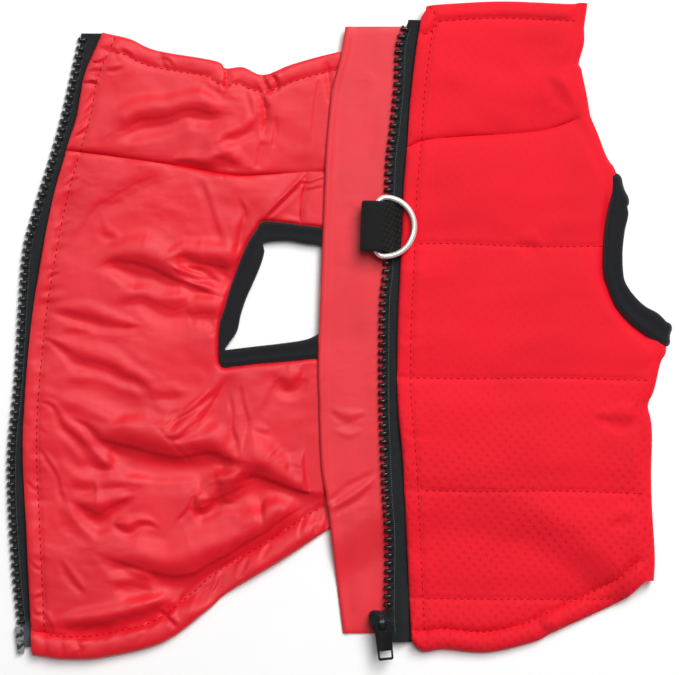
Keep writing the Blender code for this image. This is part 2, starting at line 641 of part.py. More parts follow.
def binding_right(finish, collection):
    """The right armhole's binding: over the top, round the fold, and back on the table."""
    hole, cloth = band_edges(RIGHT_ARMHOLE, 26, closed=False)
    middle = (hole + cloth) / 2
    high_z, low_z = 2 * FOLD_OUTER - CLOTH / 2, CLOTH / 2
    radius = (high_z - low_z) / 2
    turn = np.linspace(0, pi, FOLD_SEGMENTS + 1)[1:-1]

    def half_turn(end, neighbour, start_angle):
        line = hole[end] - cloth[end]
        out = np.array([line[1], -line[0]]) / np.linalg.norm(line)
        if out @ (middle[end] - middle[neighbour]) < 0:
            out = -out
        angle = turn if start_angle == 0 else turn[::-1]
        normal = np.column_stack([np.outer(np.sin(angle), out), np.cos(angle)])
        centre = flat(np.tile(middle[end], (len(angle), 1)), low_z + radius) + radius * normal
        return centre, np.tile([*line, 0], (len(angle), 1)), normal * CLOTH

    chest = half_turn(-1, -3, 0)
    shoulder = half_turn(0, 2, pi)
    up, line = np.array([[0, 0, CLOTH]]), flat(hole - cloth, 0)
    centre = np.concatenate([flat(middle, high_z), chest[0], flat(middle, low_z)[::-1], shoulder[0]])
    across = np.concatenate([line, chest[1], line[::-1], shoulder[1]])
    through = np.concatenate([up.repeat(len(middle), 0), chest[2], -up.repeat(len(middle), 0), shoulder[2]])
    return ring("binding_right", centre, across, through, finish, collection)


def cut_armholes(panels, finish, helpers):
    """Cuts both armholes, a gap wider than their bindings, out of the panels."""
    _, cloth = band_edges(LEFT_ARMHOLE, BINDING_STATIONS, closed=True)
    left = prism("left_armhole_cut", [outset(cloth, GAP)], -5, 20, finish, helpers)
    _, edge = band_edges(RIGHT_ARMHOLE, 26, closed=False)
    step = np.gradient(edge, axis=0)
    step /= np.linalg.norm(step, axis=1, keepdims=True)
    edge = edge + GAP * np.stack([step[:, 1], -step[:, 0]], -1)
    first, last = edge[0], edge[-1]
    notch = np.vstack([first + (12, 6), first + (3.2, 1.5), edge,
                       last + (3.4, -1.1), last + (16, -4), (150, 30)])
    right = prism("right_armhole_cut", [notch], -5, 20, finish, helpers)
    for panel in panels:
        if panel.name != "back_right":
            combine(panel, left, "DIFFERENCE")
        if panel.name != "back_left":
            combine(panel, right, "DIFFERENCE")


# The zip

def upright_strip(name, ys, left, right, low, high, finish, collection):
    """A strip that runs up the coat, between two x and two z at each y."""
    x = np.stack([left, right], -1)
    y = np.stack([ys, ys], -1)
    face = np.stack([x, y, np.stack([high, high], -1)], -1)
    back = np.stack([x, y, np.stack([low, low], -1)], -1)
    return wall(name, face, back, finish, collection)


def under_edge():
    """Places of the right panels' last three columns at the zip, for what lies by or under them.

    They come row by row. The rows are made level near the flap's two ends, which lie on the table.
    """
    layers = [back_top(), collar_top()]
    x = np.concatenate([layers[0].x[:, -3:], layers[1].x[1:, -3:]])
    y = np.concatenate([layers[0].y[:, -3:], layers[1].y[1:, -3:]])
    edge_y = y[:, -1:]
    level_x = x_at(RIGHT_ZIP, edge_y) + np.array([FLAP_UNDER, 1.5, 0])
    hold = ease((edge_y + 108) / 20) * ease((108 - edge_y) / 20)
    keep = (edge_y[:, 0] > FLAP_FOOT + 1) & (edge_y[:, 0] < FLAP_HEAD - 1)
    return (level_x + hold * (x - level_x))[keep], (edge_y + hold * (y - edge_y))[keep]


def with_ends(values, foot, head):
    """Row places with a strip's own two ends."""
    return np.concatenate([[foot], values[(values > foot + 0.5) & (values < head - 0.5)], [head]])


def right_chain_low(x, y):
    """Underside of the right teeth: over the flap, and raised at the foot by the slider."""
    return bed(x, y) + FLAP + GAP + SLIDER_LIFT * ease((-96.0 - y) / 9.0)


def zip_sides(black, tooth, collection):
    """Both tapes and both rows of teeth, the teeth as plain bars."""
    foot, head = -115.4, 113.0
    ys = np.linspace(foot, head, 40)
    tip = x_at(LEFT_TIPS, ys)
    rest = np.zeros_like(ys)
    upright_strip("zip_chain_left", ys, tip, tip + TOOTH_LONG, rest, rest + TOOTH_HIGH, tooth, collection)
    ys = np.linspace(-123.4, head + 2, 40)
    inner = x_at(LEFT_TIPS, ys) + TOOTH_LONG + GAP
    edge = x_at(LEFT_ZIP_LOW + LEFT_ZIP_HIGH[1:], ys) - GAP
    rest = np.full_like(ys, TAPE_IN_CHAIN)
    upright_strip("zip_tape_left", ys, inner, edge, rest, rest + TAPE, black, collection)

    rows = under_edge()[1][:, -1]
    ys = with_ends(rows, -117.6, 119.8)
    tip = x_at(RIGHT_TIPS, ys)
    low = right_chain_low(tip + TOOTH_LONG / 2, ys)
    upright_strip("zip_chain_right", ys, tip, tip + TOOTH_LONG, low, low + TOOTH_HIGH, tooth, collection)
    ys = with_ends(rows, -121.3, 121.0)
    inner = x_at(RIGHT_TIPS, ys) + TOOTH_LONG + GAP
    edge = x_at(RIGHT_ZIP, ys) - GAP
    low = right_chain_low(inner, ys) + TAPE_IN_CHAIN
    upright_strip("zip_tape_right", ys, inner, edge, low, low + TAPE, black, collection)


def flap(finish, collection):
    """The guard flap, lying on the lining and down on the table at its ends."""
    edge_x, edge_y = under_edge()
    ends = np.array([FLAP_FOOT, FLAP_HEAD])[:, None]
    end_x = x_at(RIGHT_ZIP, ends) + np.array([FLAP_UNDER, 1.5, 0])
    edge_x = np.vstack([end_x[:1], edge_x, end_x[1:]])
    edge_y = np.vstack([ends[:1].repeat(3, 1), edge_y, ends[1:].repeat(3, 1)])
    west = x_at(FLAP_EDGE, edge_y[:, -1])[:, None]
    open_x = west + np.linspace(0, 1, 6)[:-1] * (edge_x[:, -1:] - west)
    x = np.hstack([open_x, edge_x[:, ::-1]])
    y = np.hstack([edge_y[:, -1:].repeat(5, 1), edge_y[:, ::-1]])
    low = bed(x, y)
    return wall("flap", np.stack([x, y, low + FLAP], -1), np.stack([x, y, low], -1), finish, collection)


SLIDER_HALF_OUTLINE = (At(0, 3.9), At(2.6, 4.5), At(4.2, 4.0), At(4.75, 2.9), At(4.75, 0.2), At(3.5, -2.6),
                       At(3.2, -4.2), At(2.6, -4.7))


def mirrored(half):
    """A closed outline from its right half, listed from top to bottom."""
    return list(half) + [At(-place.x, place.y) for place in reversed(half) if place.x]


def place_on_slider(obj, hinge_z, droop=0.0):
    """Puts a piece made about the pull's axis in its place on the coat."""
    obj.location = (SLIDER_X * MM, SLIDER_Y * MM, hinge_z * MM)
    obj.rotation_euler = (droop, 0, SLIDER_TILT)


def arch_outline():
    """The bridge over the pull's bar, seen from the side: an arch on two legs."""
    turn = np.linspace(0, pi, 9)
    inner = ARCH_OPEN - 1.3
    outer = inner + ARCH_WALL
    foot = -HINGE_UP - 0.4
    spring = -HINGE_UP + 1.3
    outside = [(outer * cos(a), spring + outer * sin(a)) for a in turn]
    inside = [(inner * cos(a), spring + inner * sin(a)) for a in turn[::-1]]
    return [(outer, foot), *outside, (-outer, foot), (-inner, foot), *inside, (inner, foot)]


def zip_fittings(black, collection, helpers):
    """The slider, its pull, the pin and the box, in hinge-centred and then in world places."""
    under = FLAP + GAP
    plate_top = under + PLATE + GAP + TOOTH_HIGH + GAP
    hinge_z = plate_top + TOP_PLATE + HINGE_UP
    outline = mirrored(SLIDER_HALF_OUTLINE)
    slider = prism("zip_slider", [outline], plate_top - hinge_z, plate_top + TOP_PLATE - hinge_z,
                   black, collection)
    lower = prism("slider_lower_plate", [outline], under - hinge_z, under + PLATE - hinge_z, black, helpers)
    core = prism("slider_core", [mirrored((At(0.6, 3.8), At(0.4, 0.6)))], under + 0.5 - hinge_z,
                 plate_top + 0.5 - hinge_z, black, helpers)
    arch = prism("slider_arch", [arch_outline()], -ARCH_WIDE / 2, ARCH_WIDE / 2, black, helpers)
    arch.location = (SLIDER_X * MM, SLIDER_Y * MM, hinge_z * MM)
    arch.rotation_euler = (radians(90), 0, radians(90) + SLIDER_TILT)
    for piece in (slider, lower, core):
        place_on_slider(piece, hinge_z)
    for piece in (core, lower, arch):
        combine(slider, piece, "UNION")

    half = (At(1.9, 0.6), At(3.0, 0.3), At(3.3, -0.6), At(2.95, -PULL_REACH + 0.6), At(2.4, -PULL_REACH))
    window = mirrored((At(1.4, -0.6), At(1.4, -3.7)))
    foot_hole = mirrored((At(2.2, -PULL_REACH + 3.7), At(2.2, -PULL_REACH + 0.8)))
    pull = prism("zip_pull", [mirrored(half), window, foot_hole], -PULL_THICK / 2, PULL_THICK / 2,
                 black, collection)
    place_on_slider(pull, hinge_z, PULL_DROOP)

    box = [(17.0, -120.9), (20.6, -120.9), (20.6, -118.1), (17.0, -118.1)]
    prism("zip_box", [box], under + PLATE, under + PLATE + 3.0, black, collection)
    pin = [(-125.5, -125.6), (-123.1, -125.6), (-123.4, -115.7), (-126.6, -115.7)]
    prism("zip_pin", [pin], 0.0, 2.2, black, collection)


# The leash ring

def ring_path():
    """The D's centre line: a bar on the axis, two corners and an elliptical arc."""
    corner = np.linspace(0, pi / 2, 5)
    start = RING_HALF - RING_CORNER
    first = [(RING_CORNER - RING_CORNER * cos(a), start + RING_CORNER * sin(a)) for a in corner]
    swing = np.linspace(pi / 2, -pi / 2, 17)
    arc = [(RING_CORNER + (RING_DEEP - RING_CORNER) * cos(a), RING_HALF * sin(a)) for a in swing[1:-1]]
    bar = [(0.0, -start + 2 * start * step / 3) for step in (1, 2)]
    return first + arc + [(x, -y) for x, y in reversed(first)] + bar


def d_ring(finish, collection):
    """The wire ring as a closed curve with a round bevel, lying back on the right panel."""
    curve = bpy.data.curves.new("d_ring", "CURVE")
    curve.dimensions = "3D"
    curve.bevel_depth = RING_WIRE / 2 * MM
    curve.bevel_resolution = 2
    path = ring_path()
    spline = curve.splines.new("POLY")
    spline.points.add(len(path) - 1)
    for point, (x, y) in zip(spline.points, path):
        point.co = (x * MM, y * MM, 0, 1)
    spline.use_cyclic_u = True
    obj = bpy.data.objects.new("d_ring", curve)
    collection.objects.link(obj)
    curve.materials.append(finish)
    obj.location = (RING_X * MM, RING_Y * MM, BAR_Z * MM)
    obj.rotation_euler = (0, RING_DROOP, RING_TURN)
    return obj


def leash_loop(finish, collection):
    """The webbing: both ends in the zip's seam, and a loop round the ring's bar."""
    low = CHAIN_LIFT + TOOTH_HIGH + GAP
    middle, radius = (low + LOOP_TOP) / 2, (LOOP_TOP - low) / 2
    turn = np.linspace(1.5 * pi, 0.5 * pi, 9)
    centre = LOOP_LEFT + radius
    outside = [(9.4, low - 0.7), (7.4, low - 0.7), (6.2, low)]
    outside += [(centre + radius * cos(a), middle + radius * sin(a)) for a in turn]
    outside += [(2.0, LOOP_TOP), (5.2, LOOP_TOP - 1.7), (7.4, low + 1.0), (9.4, low + 1.0)]
    inner = radius - WEBBING
    inside = [(5.9, low + WEBBING)] + [(centre + inner * cos(a), middle + inner * sin(a)) for a in turn]
    inside += [(1.8, LOOP_TOP - WEBBING), (4.4, LOOP_TOP - WEBBING - 1.5), (5.9, low + WEBBING + 0.6)]
    loop = prism("leash_loop", [outside, inside], -WEBBING_WIDE / 2, WEBBING_WIDE / 2, finish, collection)
    loop.location = (RING_X * MM, RING_Y * MM, 0)
    loop.rotation_euler = (radians(90), 0, RING_TURN)
    return loop


def main():
    """Clears the scene and builds every piece of the coat."""
    for obj in list(bpy.data.objects):
        bpy.data.objects.remove(obj)
    coat = bpy.data.collections.new("dog_coat")
    helpers = bpy.data.collections.new("cutters")
    for collection in (coat, helpers):
        bpy.context.scene.collection.children.link(collection)

    lining = finish_of("lining", (0.78, 0.05, 0.06), 0.42)
    shell = finish_of("shell", (0.80, 0.02, 0.04), 0.62)
    flap_cloth = finish_of("flap_cloth", (0.74, 0.06, 0.08), 0.45)
    binding = finish_of("binding_tape", (0.015, 0.02, 0.025), 0.8)
    tape = finish_of("zip_tape", (0.03, 0.035, 0.038), 0.85)
    resin = finish_of("resin", (0.012, 0.012, 0.014), 0.28)
    webbing = finish_of("webbing", (0.012, 0.012, 0.013), 0.75)
    nickel = finish_of("nickel", (0.75, 0.74, 0.71), 0.12, 1.0)

    panels = [back_left(lining, coat), belly(lining, coat), back_right(shell, coat)]
    collar(shell, coat)
    binding_left(binding, coat)
    binding_right(binding, coat)
    cut_armholes(panels, binding, helpers)
    flap(flap_cloth, coat)
    zip_sides(tape, resin, coat)
    zip_fittings(resin, coat, helpers)
    leash_loop(webbing, coat)
    d_ring(nickel, coat)


main()
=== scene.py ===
"""Looks for a padded dog coat that lies open on a table, folded once.

The left half shows its satin lining, the right half its quilted shell, and a guard flap and a
resin zip lie between them. Sizes here are millimetres in the CAD's own frame: +X right, +Y
towards the collar, +Z up from the table. They are scaled to metres where a mesh is made.
"""

import logging
import math
from abc import ABC, abstractmethod
from dataclasses import dataclass, replace
from enum import Enum
from typing import NamedTuple, Optional, Sequence, Union

import bpy
import numpy as np
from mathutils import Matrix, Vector


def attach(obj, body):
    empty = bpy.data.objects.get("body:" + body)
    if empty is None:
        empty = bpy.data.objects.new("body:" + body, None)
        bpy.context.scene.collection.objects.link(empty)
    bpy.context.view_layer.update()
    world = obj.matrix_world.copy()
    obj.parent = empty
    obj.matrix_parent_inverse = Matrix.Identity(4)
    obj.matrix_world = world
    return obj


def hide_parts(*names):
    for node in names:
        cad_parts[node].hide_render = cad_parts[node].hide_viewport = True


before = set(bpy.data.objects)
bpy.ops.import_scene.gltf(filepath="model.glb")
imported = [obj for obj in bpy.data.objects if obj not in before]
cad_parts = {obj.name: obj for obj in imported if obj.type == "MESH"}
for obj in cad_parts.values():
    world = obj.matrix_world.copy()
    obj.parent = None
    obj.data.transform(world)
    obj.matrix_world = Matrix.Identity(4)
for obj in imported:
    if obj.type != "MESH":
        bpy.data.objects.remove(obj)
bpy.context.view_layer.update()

MM = 0.001
BODY = "coat"
LOG = logging.getLogger("dog_coat")

Array = np.ndarray
Place = tuple[float, float]
Color = tuple[float, float, float]


# ---------------------------------------------------------------- numbers and curves


def ease(value: Array) -> Array:
    """0 below 0, 1 above 1, and a smooth step between."""
    value = np.clip(value, 0, 1)
    return value * value * (3 - 2 * value)


def hump(away: Array, width: float) -> Array:
    """A soft bell, 1 where away is 0."""
    return np.exp(-((away / width) ** 2))


def fading(away: Array, reach: float) -> Array:
    """1 where away is 0, and less and less past it."""
    return np.exp(-away / reach)


def unit(vectors: Array) -> Array:
    """Each vector at length 1."""
    return vectors / np.linalg.norm(vectors, axis=-1, keepdims=True)


@dataclass(frozen=True)
class Noise:
    """Smooth random values from -1 to 1 over the plan, the same on each run.

    Attributes:
        seed: picks one of many patterns.
        grain_x: length of one step of the pattern along x, in millimetres.
        grain_y: the same along y.
        turn: angle of the pattern's x axis, in degrees.
    """

    seed: int
    grain_x: float
    grain_y: float
    turn: float = 0.0

    def at(self, x: Array, y: Array) -> Array:
        """The pattern's values at places in plan.

        Args:
            x, y: places in plan.

        Returns:
            The value at each place.
        """
        values = np.random.default_rng(self.seed).uniform(-1, 1, (64, 64))
        cosine, sine = math.cos(math.radians(self.turn)), math.sin(math.radians(self.turn))
        u = (x * cosine + y * sine) / self.grain_x + 211.7
        v = (y * cosine - x * sine) / self.grain_y + 211.3
        column, row = np.floor(u).astype(int), np.floor(v).astype(int)
        s, t = ease(u - column), ease(v - row)
        corner = [[values[(row + j) % 64, (column + i) % 64] for i in (0, 1)] for j in (0, 1)]
        low = corner[0][0] * (1 - s) + corner[0][1] * s
        high = corner[1][0] * (1 - s) + corner[1][1] * s
        return low * (1 - t) + high * t


class Line:
    """A smooth curve in plan through its knots, kept as a fine polyline."""

    STEPS = 12

    def __init__(self, *knots: Place, closed: bool = False) -> None:
        """Makes the curve.

        Args:
            knots: the places that it goes through.
            closed: whether it ends where it starts.
        """
        self.knots = knots
        points = np.array(knots, float)
        if closed:
            points = np.concatenate([points[-1:], points, points[:2]])
        else:
            points = np.concatenate([2 * points[:1] - points[1:2], points, 2 * points[-1:] - points[-2:-1]])
        before, start, end, after = (points[i:len(points) - 3 + i, None] for i in range(4))
        t = np.linspace(0, 1, self.STEPS, endpoint=False)[None, :, None]
        curve = 0.5 * (2 * start + (end - before) * t + (2 * before - 5 * start + 4 * end - after) * t**2
                       + (3 * start - before - 3 * end + after) * t**3)
        self.points = np.concatenate([curve.reshape(-1, 2), points[-2:-1]])
        steps = np.linalg.norm(np.diff(self.points, axis=0), axis=1)
        self.reach = np.append(0, np.cumsum(steps))

    @property
    def length(self) -> float:
        """The curve's length."""
        return float(self.reach[-1])

    def joined(self, *others: "Line") -> "Line":
        """This line and the ones that follow it, as one.

        Args:
            others: lines that each start where the one before ends.

        Returns:
            The joined line.
        """
        knots = list(self.knots)
        for other in others:
            knots += other.knots[1:]
        return Line(*knots)

    def moved(self, x: float) -> "Line":
        """The line moved along x."""
        return Line(*[(knot[0] + x, knot[1]) for knot in self.knots])

    def at(self, fraction: Array) -> Array:
        """Places at fractions of the length, with x and y in the last axis."""
        where = np.asarray(fraction) * self.length
        return np.stack([np.interp(where, self.reach, self.points[:, axis]) for axis in (0, 1)], -1)

    def x_at(self, y: Array) -> Array:
        """The x of an upright line at each y."""
        return np.interp(y, self.points[:, 1], self.points[:, 0])

    def y_at(self, x: Array) -> Array:
        """The y of a level line at each x."""
        return np.interp(x, self.points[:, 0], self.points[:, 1])

    def away(self, x: Array, y: Array) -> Array:
        """How far each place is from the curve.

        Args:
            x, y: places in plan.

        Returns:
            The distance of each.
        """
        nearest = np.full(x.shape, 1e9)
        for start, end in zip(self.points[:-1], self.points[1:]):
            step = end - start
            span = max(float(step @ step), 1e-12)
            t = np.clip(((x - start[0]) * step[0] + (y - start[1]) * step[1]) / span, 0, 1)
            away = (x - start[0] - t * step[0]) ** 2 + (y - start[1] - t * step[1]) ** 2
            nearest = np.minimum(nearest, away)
        return np.sqrt(nearest)


# ---------------------------------------------------------------- the coat's sizes, as laid

CLOTH, TOP_CLOTH, GAP = 3.0, 3.2, 0.3
FLAP, TAPE = 1.0, 1.0
TOOTH_HIGH = 2.4
FOLD_RADIUS = (CLOTH + GAP + TOP_CLOTH) / 2
FOLD_INNER = 0.6
BED_START, BED_FALL = 4.0, 22.0  # past the lower layer, where the top one starts down, and how far that goes
CHAIN_LIFT = FLAP + GAP
SLIDER_LIFT = 1.3
HEM_STITCH, CASING, PLACKET = 9.0, 6.6, 5.4  # stitching's distance from the edge
CELL = 0.72  # between a panel's points
STEEP = 1.35  # what turns a crease's slope as noted into its slope as made
LINING_LEVEL = 3.3  # the lining between its folds
LOWEST = 0.9  # where it is pressed down most


LEFT_ZIP_LOW = Line((-119.9, -126.6), (-122.2, -77.6), (-123.5, -42), (-120.9, -3.5), (-117.2, 23.4),
                    (-112.1, 50.3), (-106.6, 70.3))
LEFT_ZIP_HIGH = Line((-106.6, 70.3), (-102.3, 85), (-99.4, 100.2), (-92.4, 116.4))
LEFT_ZIP = LEFT_ZIP_LOW.joined(LEFT_ZIP_HIGH)
LEFT_TIPS = Line((-126.0, -116), (-128.5, -90), (-130.1, -52.3), (-127.3, -18.3), (-125.6, 10.7),
                 (-123.9, 32), (-119.7, 48), (-110.2, 79.2), (-102.3, 113.5))
LEFT_HEM = Line((-119.9, -126.6), (-111.3, -127.9), (-104.5, -128.3), (-91.8, -127.5), (-69, -121.7),
                (-51.2, -108.8), (-43.6, -102.2), (-22.4, -89.5), (-5.6, -78.2))
HIDDEN_HEM = Line((-5.6, -78.2), (16.2, -64.7), (35.3, -57.3), (51.7, -55), (70.4, -58.9), (89.9, -69.8),
                  (104.8, -81.9))
STRIP_HEM = Line((104.8, -81.9), (113, -90), (119.25, -97.3))
LOWER_HEM = LEFT_HEM.joined(HIDDEN_HEM, STRIP_HEM)
LEFT_SIDE = Line((-5.6, -78.2), (-5.6, -30), (-6.5, -8), (-11, 18), (-15, 44.1), (-12.6, 62))
RIGHT_SIDE = Line((104.8, -81.9), (104.8, -20), (104.4, 31.6), (97, 62), (86, 79.5))
LEFT_COLLAR_SEAM = Line((-106.6, 70.3), (-86.7, 67.8), (-60.5, 64), (-39.4, 60.6), (-12.6, 62))
BELLY_COLLAR_SEAM = Line((-12.6, 62), (20, 63), (55, 69), (86, 79.5))
STRIP_COLLAR_SEAM = Line((86, 79.5), (94.75, 83.5))
NECK = Line((-92.4, 116.4), (-81.7, 113.9), (-71.5, 109.5), (-48.6, 105.4), (-44.4, 102.5), (-37.7, 102.9),
            (-29.6, 99.9), (-18.2, 104.1), (0.2, 109), (40, 117), (70, 123), (93.35, 127.6))

RIGHT_HEM_RUN = ((119.25, -97.3), (109.8, -105.3), (84.6, -117.1), (76.1, -121.3), (57.6, -125.5),
                 (40.7, -124.3), (33.1, -125.2))
RIGHT_HEM = Line(*RIGHT_HEM_RUN, (29.9, -123.4), (28, -120))
RIGHT_HEM_SEWN = Line(*RIGHT_HEM_RUN, (22, -125.6))  # what its stitching follows, past the rounded corner
RIGHT_ZIP_LOW = Line((28, -120), (26.8, -94.4), (24.7, -52.3), (22.6, -26.9), (22.6, 2.7), (23.8, 27.7),
                     (24.7, 53), (26.4, 71.5))
RIGHT_ZIP_HIGH = Line((26.4, 71.5), (27.7, 91.3), (29.8, 109.6), (31.8, 121.9))
RIGHT_ZIP = RIGHT_ZIP_LOW.joined(RIGHT_ZIP_HIGH)
RIGHT_TIPS = Line((17.6, -117.6), (17.2, -108), (17.5, -81.5), (16.2, -60.5), (15, -22.6), (15.4, 10.9),
                  (16.7, 25.4), (17.5, 61.6), (19.2, 78.4), (20.9, 95), (21.7, 111.4), (24.7, 120.2))
RIGHT_COLLAR_SEAM = Line((94.75, 83.5), (88.8, 81), (79.5, 78.1), (67.7, 76.8), (36.5, 74.7), (26.4, 71.5))
COLLAR_TOP = Line((93.35, 127.6), (88.8, 127.2), (62.6, 128.2), (36.5, 126.8), (34, 125.3), (31.8, 121.9))
FOLD_LOW = Line((122.5, -97.3), (122.9, -87.4), (121.6, -60), (121.6, -38), (120, -28.9), (122.5, -23.4),
                (125, -12.5), (127.1, -6.2), (123, 12), (115, 38), (107.8, 61.5), (104.4, 67.5),
                (98, 83.5)).moved(-FOLD_RADIUS)
FOLD_HIGH = Line((98, 83.5), (94.6, 101.2), (93.4, 104.2), (95.5, 112.3), (95.5, 119),
                 (96.6, 127.6)).moved(-FOLD_RADIUS)
FLAP_EDGE = Line((1.4, -118), (-0.5, -103), (-3, -81.9), (-4.7, -67.5), (-7.2, -52.3), (-8.1, -26.9),
                 (-8.5, -14), (-7.6, 10.5), (-6.8, 33.5), (-5.6, 65.5), (-4.7, 78.4), (-3, 93.6), (0.2, 106),
                 (2.3, 118.3))
FLAP_FOOT, FLAP_HEAD, FLAP_UNDER = -118.1, 118.6, 4.0

# Stitched quilting lines on the shell, by the y of a level line
QUILTING = (Line((20, 33.6), (45, 34.0), (75, 32.8), (105, 33.0)),
            Line((20, -18.0), (50, -18.6), (80, -18.2), (125, -19.4)),
            Line((20, -61.6), (50, -62.4), (85, -62.2), (122, -63.4)),
            Line((20, -104.2), (60, -104.6), (95, -104.6), (122, -104.0)))


class Band(NamedTuple):
    """Where a binding starts and ends across: at the hole and at the cloth."""

    hole: Place
    cloth: Place


LEFT_ARMHOLE = tuple(Band(*row) for row in (
    ((-29.1, 34.3), (-29.7, 42.7)), ((-20.6, 35.1), (-20.6, 42.1)), ((-13.8, 34.1), (-14.6, 41.3)),
    ((-7.0, 33.0), (-7.0, 40.3)), ((-3.3, 29.3), (2.2, 37.0)), ((-1.7, 21.8), (5.7, 24.6)),
    ((-2.1, 12.1), (4.9, 9.8)), ((-4.4, 2.7), (1.0, -3.5)), ((-8.6, -1.3), (-5.6, -9.8)),
    ((-13.8, -3.5), (-13.0, -11.1)), ((-23.2, -4.9), (-22.5, -12.0)), ((-34.5, -6.2), (-32.5, -12.8)),
    ((-42.0, -7.1), (-40.3, -13.7)), ((-44.6, -7.2), (-46.2, -13.7)), ((-43.0, -4.7), (-47.2, -5.5)),
    ((-39.9, 0.0), (-46.8, 2.7)), ((-38.5, 6.2), (-45.0, 8.6)), ((-36.4, 12.6), (-42.8, 16.2)),
    ((-33.3, 19.5), (-39.6, 25.4)), ((-30.6, 26.1), (-36.0, 33.9)), ((-29.3, 30.8), (-32.5, 39.4)),
))
RIGHT_ARMHOLE = tuple(Band(*row) for row in (
    ((112.0, 48.6), (106.0, 60.6)), ((112.4, 45.0), (105.6, 52.6)), ((111.0, 38.6), (103.6, 41.7)),
    ((110.2, 30.8), (102.8, 32.0)), ((110.4, 23.0), (102.8, 23.4)), ((111.4, 18.7), (104.2, 17.9)),
    ((114.5, 14.0), (107.7, 9.5)), ((118.8, 9.8), (113.2, 3.1)), ((123.9, 6.9), (119.2, -1.6)),
    ((127.4, 3.5), (124.5, -5.2)),
))


def across_fold() -> tuple[Array, Array]:
    """The height across a level crease, by the distance below its middle, in half widths of its band.

    The cloth rises slowly to a round ridge, falls steeply, ends in a sharp trough and rises slowly again.

    Returns:
        The distances, and the height at each for a fall of 1 in 1.
    """
    below = np.linspace(-4, 4, 401)
    fall = ease((below + 1.7) / 1.2) * (1 - ease((below - 0.95) / 0.5))
    before, after = hump(below + 2.7, 0.75), hump(below - 2.3, 0.7)
    slope = fall.sum() * (0.5 * before / before.sum() + 0.5 * after / after.sum()) - fall
    return below, np.cumsum(slope) * (below[1] - below[0])


ACROSS_FOLD = across_fold()


class Crease:
    """A crease, placed by the band where its shade shows.

    Under the light from the collar's side, cloth that falls away towards the hem looks dark and cloth
    that rises towards it looks bright, so a level crease is a step between a ridge and a trough. An
    upright one is a plain ridge or trough.

    Attributes:
        slope: how steep the band is, below 0 where it falls towards the hem.
        path: the smooth line in the band's middle.
        widths: half the band's width at each place of the path.
    """

    def __init__(self, slope: float, *places: tuple[float, float, float]) -> None:
        """Makes the crease.

        Args:
            slope: how steep the band is, below 0 where it falls towards the hem.
            places: x, y and half the band's width at places along its middle.
        """
        self.slope = slope
        self.path = Line(*[place[:2] for place in places])
        self.widths = np.array([place[2] for place in places])

    def relief(self, x: Array, y: Array) -> Array:
        """What the crease adds to the cloth's height: a step that dies out on both sides and at its ends.

        The distance from the path, the place along it, the side and the direction are averages over the
        path's stretches, each with a weight that fades with its distance, so that no bend shows an edge.

        Args:
            x, y: places in plan.

        Returns:
            The height that it adds at each, below 0 in a trough.
        """
        relief = np.zeros_like(x)
        reach_out = 4 * self.widths.max() + 1
        low, high = self.path.points.min(0) - reach_out, self.path.points.max(0) + reach_out
        near = (x > low[0]) & (x < high[0]) & (y > low[1]) & (y < high[1])
        if not near.any():
            return relief
        px, py = x[near], y[near]
        points, reach = self.path.points, self.path.reach
        blend = 0.3 * self.widths.max()
        weight, best, part, side, level = (np.zeros(px.shape) for _ in range(5))
        for index in range(0, len(points) - 1, 3):
            start, end = points[index], points[index + 3]
            step = end - start
            span = max(float(step @ step), 1e-9)
            t = np.clip(((px - start[0]) * step[0] + (py - start[1]) * step[1]) / span, 0, 1)
            dx, dy = px - start[0] - t * step[0], py - start[1] - t * step[1]
            away = np.hypot(dx, dy)
            here = np.exp(-away / blend)
            weight += here
            best += here * away
            part += here * (reach[index] + t * (reach[index + 3] - reach[index]))
            side += here * np.sign(dx * step[1] - dy * step[0]) * away
            level += here * step[0] / math.sqrt(span)
        best, part, side, level = best / weight, part / weight, side / weight, level / weight
        width = np.interp(part, reach[::Line.STEPS], self.widths)
        fade = ease(part / (0.16 * reach[-1])) * ease((reach[-1] - part) / (0.16 * reach[-1]))
        plain = 0.4 * hump(best, width) + 0.6 * np.exp(-1.5 * best / width)
        plain = (0.10 + 0.90 * (1 - np.abs(level))) * plain
        step = np.abs(level) * np.interp(np.sign(level) * side / width, *ACROSS_FOLD)
        relief[near] = STEEP * self.slope * width * (0.15 + 0.85 * fade) * (plain - step)
        return relief


